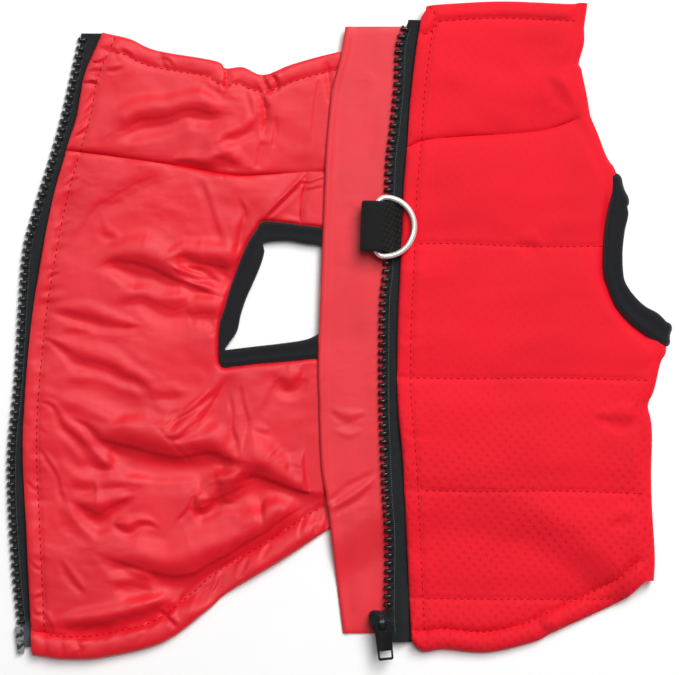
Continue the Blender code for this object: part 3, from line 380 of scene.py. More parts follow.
# The lining's folds, from the collar down to the hem
LINING_FOLDS = (
    Crease(-0.35, (-88, 77, 1.6), (-84, 79, 2.7), (-78, 82, 3.1), (-72, 83, 3.1), (-66, 84, 2.7),
           (-60, 86, 2.7), (-55, 86, 3.1), (-50, 85, 2.7), (-46, 85, 2.0), (-43, 85, 0.8)),
    Crease(-0.3, (-52, 69, 0.8), (-49, 72, 1.6), (-46, 74, 1.6), (-42, 76, 1.6), (-37, 78, 1.6),
           (-33, 81, 2.0), (-30, 85, 2.0)),
    Crease(-0.35, (-66, 66, 0.4), (-60, 66, 1.2), (-54, 65, 1.6), (-50, 65, 2.0), (-46, 67, 2.7),
           (-42, 66, 2.0), (-37, 64, 1.2)),
    Crease(-0.8, (-30, 93, 0.8), (-29, 87, 1.6), (-29, 81, 1.2), (-30, 75, 0.8)),
    Crease(-0.5, (-25, 84, 0.8), (-25, 78, 0.8), (-26, 71, 0.8)),
    Crease(-0.5, (-37, 95, 0.8), (-35, 89, 0.8), (-34, 83, 0.8)),
    Crease(-0.6, (-32, 96, 0.8), (-30, 90, 0.8), (-29, 86, 0.8)),
    Crease(-1.1, (-44, 103, 0.8), (-44, 99, 1.0), (-45, 94, 0.8)),
    Crease(-1.2, (-30, 100, 0.6), (-28, 96, 1.0), (-27, 93, 0.8)),
    Crease(-1.2, (-27, 101, 0.6), (-25, 98, 1.0), (-24, 94, 0.8)),
    Crease(-0.9, (-70, 109, 0.6), (-69, 106, 0.8), (-67, 102, 0.6)),
    Crease(-0.9, (-68, 107, 0.6), (-66, 105, 0.6), (-65, 103, 0.6)),
    Crease(-0.6, (-5, 106, 1.2), (-4, 97, 2.0), (-3, 88, 1.2)),
    Crease(-0.2, (-52, 96, 1.2), (-48, 94, 2.0), (-44, 92, 1.6)),
    Crease(-0.8, (-100, 97, 0.4), (-96, 97, 0.6), (-94, 96, 0.4)),
    Crease(-0.8, (-103, 76, 0.4), (-100, 78, 0.6), (-98, 80, 0.4)),
    Crease(-0.65, (-103, 78, 0.4), (-100, 82, 0.6), (-97, 85, 0.4)),
    Crease(-0.55, (-102, 82, 0.4), (-99, 85, 0.6), (-96, 89, 0.4)),
    Crease(-0.5, (-100, 87, 0.4), (-98, 90, 0.5), (-96, 93, 0.4)),
    Crease(-0.6, (-97, 105, 0.4), (-94, 105, 0.5), (-91, 106, 0.4)),
    Crease(-0.4, (-98, 101, 0.4), (-95, 102, 0.5), (-92, 101, 0.4)),
    Crease(-0.45, (-89, 111, 0.5), (-87, 108, 0.8), (-86, 105, 0.5)),
    Crease(-0.4, (-85, 110, 0.5), (-82, 108, 0.8), (-80, 105, 0.5)),
    Crease(-0.3, (-91, 102, 0.5), (-88, 102, 0.8), (-84, 103, 0.5)),
    Crease(-0.4, (-107, 57, 0.4), (-104, 59, 0.6), (-101, 60, 0.4)),
    Crease(-0.4, (-111, 39, 0.4), (-108, 41, 0.6), (-105, 43, 0.4)),
    Crease(-0.4, (-114, 20, 0.4), (-112, 22, 0.6), (-109, 23, 0.4)),
    Crease(-0.4, (-122, -58, 0.4), (-119, -61, 0.6), (-117, -62, 0.4)),
    Crease(-0.45, (-121, -89, 0.4), (-118, -92, 0.6), (-116, -93, 0.4)),
    Crease(-0.45, (-120, -107, 0.4), (-118, -110, 0.6), (-115, -110, 0.4)),
    Crease(-0.45, (-119, -104, 0.4), (-117, -103, 0.6), (-115, -103, 0.4)),
    Crease(-0.35, (-30, 74, 1.2), (-31, 69, 1.6), (-32, 63, 1.2)),
    Crease(-0.17, (-105, 35, 1.2), (-100, 41, 2.0), (-95, 48, 2.3), (-89, 52, 2.7), (-84, 55, 3.1),
           (-78, 58, 3.1), (-72, 60, 2.7), (-68, 60, 1.2)),
    Crease(-0.16, (-94, 45, 0.8), (-92, 39, 1.2), (-89, 37, 1.2), (-85, 34, 0.8)),
    Crease(-0.38, (-94, 25, 0.8), (-89, 27, 2.3), (-84, 27, 3.5), (-78, 26, 4.3), (-72, 24, 3.9),
           (-66, 21, 3.5), (-60, 19, 2.3), (-55, 17, 2.0), (-50, 15, 1.2), (-46, 14, 0.8)),
    Crease(-0.42, (-66, 28, 0.8), (-61, 29, 2.3), (-56, 27, 3.1), (-50, 26, 3.1), (-46, 25, 3.1),
           (-41, 23, 3.1)),
    Crease(-0.5, (-66, 25, 0.4), (-62, 23, 0.8), (-56, 21, 1.0), (-50, 20, 1.0), (-45, 16, 0.8)),
    Crease(-0.45, (-61, 25, 0.4), (-56, 24, 0.8), (-50, 22, 0.8), (-44, 18, 0.8)),
    Crease(-0.5, (-39, 52, 0.6), (-37, 46, 1.2), (-38, 40, 2.0), (-39, 35, 2.3), (-41, 29, 2.0)),
    Crease(-0.3, (-55, 60, 1.2), (-52, 53, 1.2), (-49, 43, 1.2), (-45, 33, 1.2)),
    Crease(-0.75, (-30, 43, 0.5), (-23, 50, 0.7), (-17, 56, 0.7), (-13, 61, 0.5)),
    Crease(-0.14, (-29, 43, 1.2), (-22, 49, 2.3), (-15, 55, 2.0), (-11, 57, 1.2)),
    Crease(-0.6, (-13, 60, 0.5), (-14, 53, 0.5), (-15, 44, 0.5)),
    Crease(-0.5, (-15, 58, 0.4), (-11, 58, 0.6), (-6, 60, 0.4)),
    Crease(-0.3, (-13, 55, 0.6), (-10, 56, 0.8), (-6, 57, 0.6)),
    Crease(-0.3, (-10, 52, 0.8), (-8, 47, 1.6), (-7, 42, 1.6)),
    Crease(-0.28, (-112, 8, 0.8), (-105, 7, 1.6), (-99, 6, 2.0), (-93, 4, 2.0), (-88, 3, 1.6),
           (-82, 2, 1.2), (-77, 2, 0.4)),
    Crease(-0.15, (-108, 0, 0.8), (-103, 0, 1.2), (-97, 0, 0.8)),
    Crease(-0.3, (-118, -2, 0.4), (-112, -4, 0.8), (-107, -7, 1.4), (-102, -10, 2.3), (-95, -12, 2.5),
           (-89, -14, 2.3), (-84, -17, 2.0), (-79, -19, 1.6), (-75, -22, 1.6), (-73, -26, 1.2)),
    Crease(-0.2, (-86, 11, 1.2), (-78, 13, 2.0), (-71, 11, 3.1), (-65, 9, 3.5), (-60, 10, 3.1),
           (-56, 12, 1.6)),
    Crease(-0.28, (-59, 6, 1.2), (-54, 7, 2.3), (-49, 7, 2.3), (-47, 7, 1.6)),
    Crease(-0.4, (-50, 4, 0.8), (-49, 1, 1.6), (-49, -2, 1.2)),
    Crease(-0.14, (-74, -27, 1.2), (-71, -31, 1.6), (-66, -33, 1.6), (-60, -30, 1.2)),
    Crease(-0.14, (-75, -25, 1.2), (-70, -25, 1.6), (-65, -25, 1.6), (-61, -26, 1.2)),
    Crease(-0.42, (-104, -34, 0.4), (-98, -37, 1.2), (-93, -42, 2.3), (-86, -44, 3.9), (-78, -46, 4.7),
           (-70, -48, 5.1), (-62, -49, 4.7), (-54, -48, 5.1), (-49, -48, 3.9), (-43, -50, 2.3),
           (-38, -51, 0.8)),
    Crease(-0.42, (-118, -27, 0.4), (-114, -28, 0.6), (-111, -30, 0.8), (-108, -36, 1.2), (-103, -41, 1.6),
           (-98, -46, 2.0), (-93, -51, 2.3), (-88, -53, 1.6), (-85, -53, 0.8)),
    Crease(-0.22, (-107, -43, 0.8), (-103, -49, 2.0), (-96, -53, 2.3), (-89, -55, 1.6)),
    Crease(-0.45, (-69, -41, 0.4), (-63, -41, 1.2), (-58, -37, 2.3), (-53, -33, 2.7), (-49, -27, 2.3),
           (-46, -22, 2.0), (-43, -16, 2.0)),
    Crease(-0.55, (-68, -39, 0.4), (-64, -35, 0.6), (-58, -31, 0.8), (-53, -27, 0.8), (-49, -23, 0.8)),
    Crease(-0.7, (-43, -24, 0.6), (-42, -30, 0.8), (-42, -37, 0.8), (-40, -44, 0.8), (-39, -51, 0.8)),
    Crease(-0.5, (-39, -20, 0.8), (-38, -27, 0.8), (-36, -35, 1.0), (-37, -43, 0.8), (-38, -49, 0.8)),
    Crease(-0.45, (-49, -61, 0.8), (-46, -64, 3.5), (-43, -63, 3.1), (-39, -61, 3.9), (-36, -58, 5.1),
           (-33, -57, 5.9), (-28, -58, 4.3), (-22, -60, 3.5), (-16, -62, 3.5), (-11, -63, 5.1),
           (-6, -63, 6.2)),
    Crease(-0.3, (-20, -51, 0.8), (-16, -53, 2.3), (-11, -55, 2.7), (-8, -57, 2.3)),
    Crease(-0.5, (-57, -69, 0.8), (-54, -69, 2.3), (-51, -68, 2.3), (-49, -66, 1.6), (-47, -61, 0.8)),
    Crease(-0.6, (-63, -74, 0.6), (-59, -69, 0.8), (-57, -65, 0.8), (-55, -62, 0.4)),
    Crease(-0.42, (-103, -67, 0.8), (-99, -69, 2.3), (-94, -71, 3.5), (-90, -69, 2.7), (-86, -67, 2.0),
           (-81, -65, 0.8)),
    Crease(-0.18, (-105, -60, 1.2), (-97, -60, 2.3), (-90, -61, 2.3), (-83, -60, 1.2)),
    Crease(-0.6, (-117, -45, 0.4), (-114, -50, 0.6), (-112, -53, 0.6), (-110, -57, 0.6), (-109, -62, 0.8),
           (-107, -67, 0.8)),
    Crease(-0.35, (-117, -36, 0.4), (-116, -38, 0.4), (-114, -40, 0.4)),
    Crease(-0.38, (-89, -74, 0.4), (-86, -76, 1.2), (-82, -77, 1.6), (-78, -75, 1.2), (-74, -75, 0.8),
           (-70, -77, 0.4)),
    Crease(-0.18, (-109, -69, 1.2), (-105, -74, 2.0), (-100, -79, 2.0), (-96, -82, 1.2)),
    Crease(-0.36, (-93, -87, 1.2), (-88, -89, 2.3), (-82, -91, 3.5), (-76, -93, 3.9), (-68, -95, 4.3),
           (-60, -95, 5.1), (-54, -93, 5.5), (-49, -90, 5.1), (-43, -87, 4.3), (-37, -83, 3.5),
           (-30, -79, 3.5), (-23, -74, 3.5), (-15, -69, 3.1), (-8, -65, 1.6)),
    Crease(-0.34, (-88, -98, 1.2), (-82, -99, 2.3), (-77, -100, 2.3), (-73, -101, 1.6), (-69, -100, 0.8)),
    Crease(-0.46, (-111, -115, 1.2), (-103, -115, 2.0), (-93, -114, 2.3), (-84, -112, 2.3),
           (-76, -110, 2.3), (-70, -107, 2.3), (-64, -104, 2.0)),
    Crease(-0.35, (-109, -89, 0.6), (-106, -94, 1.0), (-103, -98, 1.0), (-99, -102, 0.6)),
    Crease(-0.32, (-24, -18, 1.2), (-20, -21, 2.3), (-17, -20, 2.3), (-14, -17, 1.2)),
    Crease(-0.15, (-31, -32, 1.2), (-28, -27, 1.6), (-25, -21, 1.2)),
    Crease(-0.2, (-33, -38, 0.8), (-31, -39, 1.0), (-28, -40, 0.8)),
    Crease(0.3, (-49, -58, 0.8), (-46, -56, 1.6), (-42, -55, 2.0), (-38, -54, 1.2)),
    Crease(0.22, (-86, -57, 1.2), (-78, -56, 2.0), (-68, -56, 2.0), (-56, -56, 1.6), (-50, -54, 0.8)),
    Crease(0.18, (-109, -24, 1.6), (-97, -27, 3.1), (-86, -32, 3.1), (-76, -35, 2.3)),
    Crease(-0.9, (-70, -109, 0.6), (-66, -112, 0.8), (-63, -115, 0.6)),
    Crease(-0.8, (-46, -95, 0.6), (-47, -98, 0.8), (-49, -102, 0.6)),
    Crease(-0.8, (-36, -88, 0.6), (-38, -92, 0.8), (-40, -96, 0.6)),
    Crease(-0.7, (-27, -82, 0.6), (-29, -85, 0.8), (-31, -89, 0.6)),
    Crease(-0.8, (-14, -72, 0.6), (-15, -76, 0.8), (-16, -81, 0.6)),
    Crease(-0.7, (-102, -121, 0.6), (-101, -123, 0.8), (-102, -126, 0.6)),
    Crease(-0.8, (-108, -121, 0.6), (-108, -124, 0.8), (-108, -127, 0.6)),
    Crease(-0.6, (-115, -110, 0.6), (-113, -114, 0.8), (-112, -119, 0.6)),
    Crease(-0.6, (-55, -101, 0.6), (-51, -99, 0.6), (-49, -97, 0.6)),
)

RIGHT_FOLDS = (
    Crease(-0.22, (81, 99, 0.8), (86.5, 93, 2.6), (92, 87, 1.0)),
    Crease(-0.14, (70, 35, 1.0), (74, 33.5, 2.2), (78, 31.6, 1.0)),
    Crease(-0.20, (99, -33, 0.8), (110, -34.5, 2.4), (118, -32.8, 1.5)),
    Crease(-0.18, (105, -75, 0.8), (110, -73, 2.2), (114, -71.8, 1.2)),
    Crease(-0.25, (78, -113, 0.8), (82, -116.5, 2.0), (85, -119.5, 0.8)),
)

FLAP_CREASES = (
    Crease(-0.20, (-3.5, -31, 0.6), (3, -34.2, 1.4), (10, -32.5, 0.6)),
    Crease(0.15, (-2, -38, 0.6), (4, -39, 1.2), (9, -37.5, 0.6)),
    Crease(0.40, (-4.6, -68.6, 0.8), (5, -62.6, 1.3), (16.5, -54.4, 0.6)),
    Crease(-0.22, (-3.4, -70.8, 0.8), (7, -64.4, 1.3), (16.5, -57.0, 0.8)),
)


# ---------------------------------------------------------------- grids and meshes


@dataclass(frozen=True)
class Patch:
    """A panel's grid in plan, with how far each point lies from the panel's four edges.

    The first axis of each array runs from the south edge to the north one, the second from the
    west edge to the east one.
    """

    x: Array
    y: Array
    south: Array
    north: Array
    west: Array
    east: Array

    @classmethod
    def between(cls, south: Line, north: Line, west: Line, east: Line, rows: Optional[int] = None,
                columns: Optional[int] = None) -> "Patch":
        """Fills the space between four edges.

        Args:
            south, north: edges that run from the west edge to the east one.
            west, east: edges that run from the south edge to the north one.
            rows, columns: how many rows and columns of points, or None for a cell of CELL.

        Returns:
            The panel's grid.
        """
        ends = np.array([0.0, 0.5, 1.0])
        tall = np.linalg.norm(north.at(ends) - south.at(ends), axis=1)
        wide = np.linalg.norm(east.at(ends) - west.at(ends), axis=1)
        rows = rows or round(tall.max() / CELL) + 1
        columns = columns or round(wide.max() / CELL) + 1
        t, s = np.meshgrid(np.linspace(0, 1, rows), np.linspace(0, 1, columns), indexing="ij")
        s_, t_ = s[..., None], t[..., None]
        grid = ((1 - t_) * south.at(s) + t_ * north.at(s) + (1 - s_) * west.at(t) + s_ * east.at(t)
                - (1 - s_) * (1 - t_) * south.at(0.0) - s_ * (1 - t_) * south.at(1.0)
                - (1 - s_) * t_ * north.at(0.0) - s_ * t_ * north.at(1.0))
        heights, widths = np.interp(s, ends, tall), np.interp(t, ends, wide)
        return cls(grid[..., 0], grid[..., 1], t * heights, (1 - t) * heights, s * widths, (1 - s) * widths)

    def from_line(self, line: Line, rough: Array, reach: float = 22.0) -> Array:
        """True distances from an edge, where a rough distance says that it is near.

        Args:
            line: the edge.
            rough: a rough distance from it at each point.
            reach: up to where the true distance is worked out.

        Returns:
            The distance at each point.
        """
        near = rough < reach
        away = rough.copy()
        away[near] = line.away(self.x[near], self.y[near])
        return away

    def lifted(self, height: Array) -> Array:
        """The grid's points at a height each, (rows, columns, 3)."""
        return np.stack([self.x, self.y, np.broadcast_to(height, self.x.shape)], -1)


class Outline:
    """One or more closed outlines in plan, for cutting holes."""

    def __init__(self, *rings: Array) -> None:
        """Keeps each outline's points, (n, 2)."""
        self.starts = np.concatenate(rings)
        self.ends = np.concatenate([np.roll(ring, -1, axis=0) for ring in rings])

    def holds(self, x: Array, y: Array) -> Array:
        """Whether each place is inside: a line to the right of it crosses the outline an odd number of times.

        Args:
            x, y: places in plan.

        Returns:
            True for each place that is inside.
        """
        inside = np.zeros(x.shape, bool)
        for (ax, ay), (bx, by) in zip(self.starts, self.ends):
            if ay != by:
                inside ^= ((ay > y) != (by > y)) & (x < (bx - ax) * (y - ay) / (by - ay) + ax)
        return inside

    def nearest(self, places: Array) -> Array:
        """The outline's nearest place to each place, (n, 2).

        Args:
            places: (n, 2).

        Returns:
            The nearest place on the outline for each, (n, 2).
        """
        best, found = np.full(len(places), 1e9), places.copy()
        for start, end in zip(self.starts, self.ends):
            step = end - start
            t = np.clip((places - start) @ step / max(float(step @ step), 1e-12), 0, 1)
            on = start + t[:, None] * step
            away = np.linalg.norm(places - on, axis=1)
            found[away < best] = on[away < best]
            best = np.minimum(best, away)
        return found


def mesh_object(name: str, points: Array, faces: Array, finishes: Sequence["Finish"],
                which: Optional[Array] = None, sharp: float = 50.0) -> bpy.types.Object:
    """Makes one object from points in millimetres and faces with equally many corners.

    Args:
        name: the object's name.
        points: (n, 3).
        faces: (m, corners) indices.
        finishes: the finishes of its material slots.
        which: the slot of each face, or None for the first.
        sharp: faces that meet at more than this angle, in degrees, keep a hard edge.

    Returns:
        The object, linked to the scene, at the origin.
    """
    mesh = bpy.data.meshes.new(name)
    corners = faces.shape[1]
    mesh.vertices.add(len(points))
    mesh.vertices.foreach_set("co", (points * MM).ravel())
    mesh.loops.add(faces.size)
    mesh.loops.foreach_set("vertex_index", faces.ravel())
    mesh.polygons.add(len(faces))
    mesh.polygons.foreach_set("loop_start", np.arange(len(faces)) * corners)
    if which is not None:
        mesh.polygons.foreach_set("material_index", which.astype(np.int32))
    mesh.update(calc_edges=True)
    mesh.validate()
    mesh.shade_smooth()
    mesh.set_sharp_from_angle(angle=math.radians(sharp))
    for finish in finishes:
        mesh.materials.append(finish.material())
    made = bpy.data.objects.new(name, mesh)
    bpy.context.scene.collection.objects.link(made)
    return made


def wall(name: str, face: Array, back: Array, finishes: Sequence["Finish"],
         hole: Optional[Outline] = None) -> bpy.types.Object:
    """A closed wall between two equal grids, with a hole through it where an outline says.

    Args:
        name: the object's name.
        face: the outer side's points, (rows, columns, 3).
        back: the other side's points.
        finishes: one finish, or one for the face and one for the back.
        hole: what is cut out, in plan.

    Returns:
        The wall's object.
    """
    rows, columns = face.shape[:2]
    index = np.arange(rows * columns).reshape(rows, columns)
    kept = np.ones((rows - 1, columns - 1), bool)
    face, back = face.copy(), back.copy()
    if hole is not None:
        middle = (face[:-1, :-1] + face[1:, 1:]) / 2
        kept = ~hole.holds(middle[..., 0], middle[..., 1])
    padded = np.pad(kept, 1)
    if hole is not None:
        around = np.stack([padded[:-1, :-1], padded[1:, :-1], padded[:-1, 1:], padded[1:, 1:]])
        inner = np.zeros((rows, columns), bool)
        inner[1:-1, 1:-1] = True
        rim = around.any(0) & ~around.all(0) & inner
        for side in (face, back):
            side[rim, :2] = hole.nearest(side[rim, :2])
    quads = np.stack([index[:-1, :-1], index[:-1, 1:], index[1:, 1:], index[1:, :-1]], -1)
    count = rows * columns
    top = quads[kept]
    faces, which = [top, top[:, ::-1] + count], [np.zeros(len(top)), np.ones(len(top))]
    edges = (
        (kept & ~padded[:-2, 1:-1], 0, 1), (kept & ~padded[1:-1, 2:], 1, 2),
        (kept & ~padded[2:, 1:-1], 2, 3), (kept & ~padded[1:-1, :-2], 3, 0),
    )
    for cells, first, second in edges:
        a, b = quads[cells][:, first], quads[cells][:, second]
        faces.append(np.stack([b, a, a + count, b + count], -1))
        which.append(np.zeros(len(a)))
    faces, which = np.concatenate(faces), np.concatenate(which)
    points = np.concatenate([face.reshape(-1, 3), back.reshape(-1, 3)])
    used, faces = np.unique(faces, return_inverse=True)
    points, faces = points[used], faces.reshape(-1, 4)
    a, b, c, d = (points[faces[:, corner]] for corner in range(4))
    volume = np.einsum("ij,ij->", a + b + c + d, np.cross(c - a, d - b))
    if volume < 0:
        faces = faces[:, ::-1]
    return mesh_object(name, points, faces, finishes, which if len(finishes) > 1 else None)


def between_rings(index: Array) -> Array:
    """Faces between successive rings of points, by their indices (..., rings, corners), as (n, 4).

    Args:
        index: the points' numbers, ring by ring.

    Returns:
        The quads' corners, (n, 4).
    """
    ahead = np.roll(index, -1, axis=-1)
    corners = [index[..., :-1, :], index[..., 1:, :], ahead[..., 1:, :], ahead[..., :-1, :]]
    return np.stack(corners, -1).reshape(-1, 4)


def fan(ring: Array, middle: int) -> Array:
    """Triangles from one point to each side of a ring, (corners, 3)."""
    return np.stack([np.full(len(ring), middle), ring, np.roll(ring, -1)], -1)


def halved(quads: Array) -> Array:
    """Two triangles for each face with four corners."""
    return np.vstack([quads[:, [0, 1, 2]], quads[:, [0, 2, 3]]])


def swept(name: str, centre: Array, across: Array, up: Array, section: Array, finishes: Sequence["Finish"],
          closed: bool) -> bpy.types.Object:
    """Carries a section along a path: each corner is the path's point plus its parts of across and up.

    Args:
        name: the object's name.
        centre: the path's points, (stations, 3).
        across, up: the section's two axes at each point, (stations, 3), with their lengths.
        section: the section's outline, (corners, 2), in parts of across and up.
        finishes: the object's finish.
        closed: whether the path ends where it starts. An open one is capped.

    Returns:
        The swept object.
    """
    section = np.asarray(section, float)
    points = centre[:, None] + across[:, None] * section[None, :, :1] + up[:, None] * section[None, :, 1:]
    index = np.arange(points[..., 0].size).reshape(points.shape[:2])
    points = points.reshape(-1, 3)
    if closed:
        faces = between_rings(np.vstack([index, index[:1]]))
    else:
        faces = np.vstack([halved(between_rings(index)), fan(index[0], len(points)),
                           fan(index[-1][::-1], len(points) + 1)])
        points = np.vstack([points, centre[0], centre[-1]])
    a, b, c = (points[faces[:, corner]] for corner in range(3))
    if np.einsum("ij,ij->", a, np.cross(b - a, c - a)) < 0:
        faces = faces[:, ::-1]
    return mesh_object(name, points, faces, finishes)


def contour(surface: Array, value: Array) -> Array:
    """The line on a surface where a value crosses zero, with one point a column.

    Args:
        surface: the points of a grid, (rows, columns, 3).
        value: a number at each point.

    Returns:
        The crossing points in the order of the columns, (n, 3).
    """
    crosses = value[:-1] * value[1:] < 0
    columns = np.nonzero(crosses.any(0))[0]
    row = crosses.argmax(0)[columns]
    low, high = value[row, columns], value[row + 1, columns]
    t = (low / (low - high))[:, None]
    return surface[row, columns] * (1 - t) + surface[row + 1, columns] * t


def upright_contour(surface: Array, value: Array) -> Array:
    """The same for a line that runs up the rows, with one point a row."""
    return contour(surface.transpose(1, 0, 2), value.T)


@dataclass(frozen=True)
class Stitches:
    """A row of lockstitches: short threads that dip into the cloth at both ends.

    Attributes:
        pitch: from one stitch to the next, in millimetres.
        length: how much of the pitch shows thread.
        thick: the thread's diameter.
        sink: how deep the middle of the thread lies below the path.
    """

    pitch: float = 2.6
    length: float = 1.9
    thick: float = 0.42
    sink: float = 0.05

    RINGS = ((-0.5, 0.15, -0.55), (-0.36, 0.85, -0.1), (0.0, 1.0, 0.12), (0.36, 0.85, -0.1),
             (0.5, 0.15, -0.55))
    SIDES = 6

    def sew(self, name: str, paths: Sequence[Array], finish: "Finish") -> bpy.types.Object:
        """Makes one object of all the stitches along some paths.

        Each is a tube of rings along the path, thickest in its middle, whose ends dip into the cloth.

        Args:
            name: the object's name.
            paths: the rows' points, (n, 3) each.
            finish: the thread's finish.

        Returns:
            The stitches' object.
        """
        ahead, size, lift = np.array(self.RINGS).T[..., None]
        angle = np.arange(self.SIDES) * 2 * np.pi / self.SIDES
        beside = np.cos(angle) * size * self.thick / 2
        above = np.sin(angle) * size * self.thick / 2 + lift * self.thick - self.sink
        tubes = []
        for path in paths:
            reach = np.append(0, np.cumsum(np.linalg.norm(np.diff(path, axis=0), axis=1)))
            where = np.arange(self.pitch / 2, reach[-1] - self.pitch / 2, self.pitch)
            if len(where) == 0:
                continue
            middle, before, after = (
                np.stack([np.interp(where + shift, reach, path[:, axis]) for axis in range(3)], -1)
                for shift in (0.0, -0.5, 0.5))
            along = unit(after - before)
            side = unit(np.cross([0.0, 0.0, 1.0], along))
            parts = ((along, ahead * self.length), (side, beside), (np.cross(along, side), above))
            tube = sum(axis[:, None, None] * part[..., None] for axis, part in parts)
            tubes.append(middle[:, None, None] + tube)
        points = np.concatenate(tubes)
        index = np.arange(points[..., 0].size).reshape(points.shape[:3])
        return mesh_object(name, points.reshape(-1, 3), between_rings(index)[:, ::-1], [finish])


# ---------------------------------------------------------------- finishes


class Signal:
    """A number in a shader tree. Python's operators on it add Math nodes."""

    def __init__(self, tree: "ShaderTree", socket: bpy.types.NodeSocket) -> None:
        """Wraps an output socket of a tree."""
        self.tree, self.socket = tree, socket

    def _math(self, operation: str, *others: "Number") -> "Signal":
        """Adds one Math node on this signal and up to two more numbers."""
        return self.tree.make("ShaderNodeMath", {0: self, **dict(enumerate(others, 1))}, operation=operation)

    def _reversed(self, operation: str, other: "Number") -> "Signal":
        """The same with the other number first."""
        return self.tree.make("ShaderNodeMath", {0: other, 1: self}, operation=operation)

    def __add__(self, other: "Number") -> "Signal":
        """Sum."""
        return self._math("ADD", other)

    def __sub__(self, other: "Number") -> "Signal":
        """Difference."""
        return self._math("SUBTRACT", other)

    def __mul__(self, other: "Number") -> "Signal":
        """Product."""
        return self._math("MULTIPLY", other)

    def __truediv__(self, other: "Number") -> "Signal":
        """Quotient."""
        return self._math("DIVIDE", other)

    def __radd__(self, other: "Number") -> "Signal":
        """Sum."""
        return self._reversed("ADD", other)

    def __rsub__(self, other: "Number") -> "Signal":
        """Difference."""
        return self._reversed("SUBTRACT", other)

    def __rmul__(self, other: "Number") -> "Signal":
        """Product."""
        return self._reversed("MULTIPLY", other)

    def __pow__(self, other: "Number") -> "Signal":
        """Power."""
        return self._math("POWER", other)

    def __abs__(self) -> "Signal":
        """Size without sign."""
        return self._math("ABSOLUTE")

    def sine(self) -> "Signal":
        """Sine of radians."""
        return self._math("SINE")

    def positive(self) -> "Signal":
        """0 to 1 from -1 to 1."""
        return (self + 1.0) * 0.5

    def whole(self) -> "Signal":
        """The whole number below."""
        return self._math("FLOOR")

    def part(self) -> "Signal":
        """What is left above the whole number below."""
        return self._math("FRACT")

    def ramp(self, low: float, high: float) -> "Signal":
        """0 at low and 1 at high, with smooth ends."""
        return self.tree.make("ShaderNodeMapRange", {0: self, 1: low, 2: high},
                              interpolation_type="SMOOTHSTEP", clamp=True)


Number = Union[Signal, float]


class ShaderTree:
    """A material's node tree round one Principled shader."""

    def __init__(self, name: str) -> None:
        """Makes the material and finds its shader.

        Args:
            name: the material's name.
        """
        self.material = bpy.data.materials.new(name)
        self.material.use_nodes = True
        self.nodes, self.links = self.material.node_tree.nodes, self.material.node_tree.links
        self.shader = self.nodes["Principled BSDF"]

    def feed(self, socket: bpy.types.NodeSocket, value: Union[Number, tuple]) -> None:
        """Links a signal to an input socket, or sets a constant on it.

        Args:
            socket: an input socket.
            value: what it gets.
        """
        if isinstance(value, Signal):
            self.links.new(value.socket, socket)
        else:
            socket.default_value = value

    def make(self, kind: str, inputs: dict[Union[int, str], Union[Number, tuple]],
             output: Union[int, str] = 0,
             **settings: object) -> Signal:
        """Adds a node.

        Args:
            kind: the node's type.
            inputs: values for its sockets.
            output: which output to return.
            settings: the node's own properties.

        Returns:
            The chosen output.
        """
        node = self.nodes.new(kind)
        for key, value in settings.items():
            setattr(node, key, value)
        for key, value in inputs.items():
            self.feed(node.inputs[key], value)
        return Signal(self, node.outputs[output])

    def set(self, **values: Union[Number, tuple]) -> None:
        """Feeds the shader's sockets, named with underscores for spaces."""
        for key, value in values.items():
            self.feed(self.shader.inputs[key.replace("_", " ")], value)

    def place(self) -> tuple[Signal, Signal, Signal]:
        """The shaded point in millimetres."""
        point = self.make("ShaderNodeTexCoord", {}, "Object")
        return tuple(self.make("ShaderNodeSeparateXYZ", {0: point}, axis) * 1000.0 for axis in range(3))

    def turned(self, degrees: float) -> tuple[Signal, Signal]:
        """The shaded point in plan, along and across an axis turned by an angle from x.

        Args:
            degrees: how far.

        Returns:
            The turned places.
        """
        x, y, _ = self.place()
        cosine, sine = math.cos(math.radians(degrees)), math.sin(math.radians(degrees))
        return x * cosine + y * sine, y * cosine - x * sine

    def noise(self, grain: float, detail: float = 2.0,
              stretch: tuple[float, float, float] = (1, 1, 1)) -> Signal:
        """Fractal noise from 0 to 1.

        Args:
            grain: its grain in millimetres.
            detail: how many finer octaves it has.
            stretch: how it is drawn out along the axes.

        Returns:
            The noise.
        """
        point = self.make("ShaderNodeTexCoord", {}, "Object")
        scale = tuple(1 / part for part in stretch)
        scaled = self.make("ShaderNodeVectorMath", {0: point, 1: scale}, operation="MULTIPLY")
        return self.make("ShaderNodeTexNoise", {"Vector": scaled, "Scale": 1000.0 / grain, "Detail": detail})

    def blend(self, factor: Number, low: Color, high: Union[Color, Signal]) -> Signal:
        """A colour between two, by a factor from 0 to 1."""
        low, high = (color if isinstance(color, Signal) else (*color, 1.0) for color in (low, high))
        return self.make("ShaderNodeMix", {0: factor, 6: low, 7: high}, 2, data_type="RGBA")

    def bump(self, height: Signal, depth: float, strength: float = 1.0) -> Signal:
        """A normal from a height of 0 to 1 that stands for a depth in millimetres."""
        inputs = {"Height": height, "Distance": depth * MM, "Strength": strength}
        return self.make("ShaderNodeBump", inputs, "Normal")


@dataclass(frozen=True)
class Finish(ABC):
    """One finish of the coat.

    Attributes:
        name: the material's name.
        color: its colour.
        rough: its roughness.
    """

    name: str
    color: Color
    rough: float

    @abstractmethod
    def paint(self, tree: ShaderTree) -> None:
        """Feeds the shader of the finish's material, which is the tree."""

    def material(self) -> bpy.types.Material:
        """Makes the finish's material, or finds it.

        Returns:
            The material.
        """
        found = bpy.data.materials.get(self.name + "_look")
        if found is None:
            tree = ShaderTree(self.name + "_look")
            self.paint(tree)
            found = tree.material
        return found

    def shaded(self, share: float) -> Color:
        """The colour, darker or lighter by a share."""
        return tuple(min(part * share, 1.0) for part in self.color)


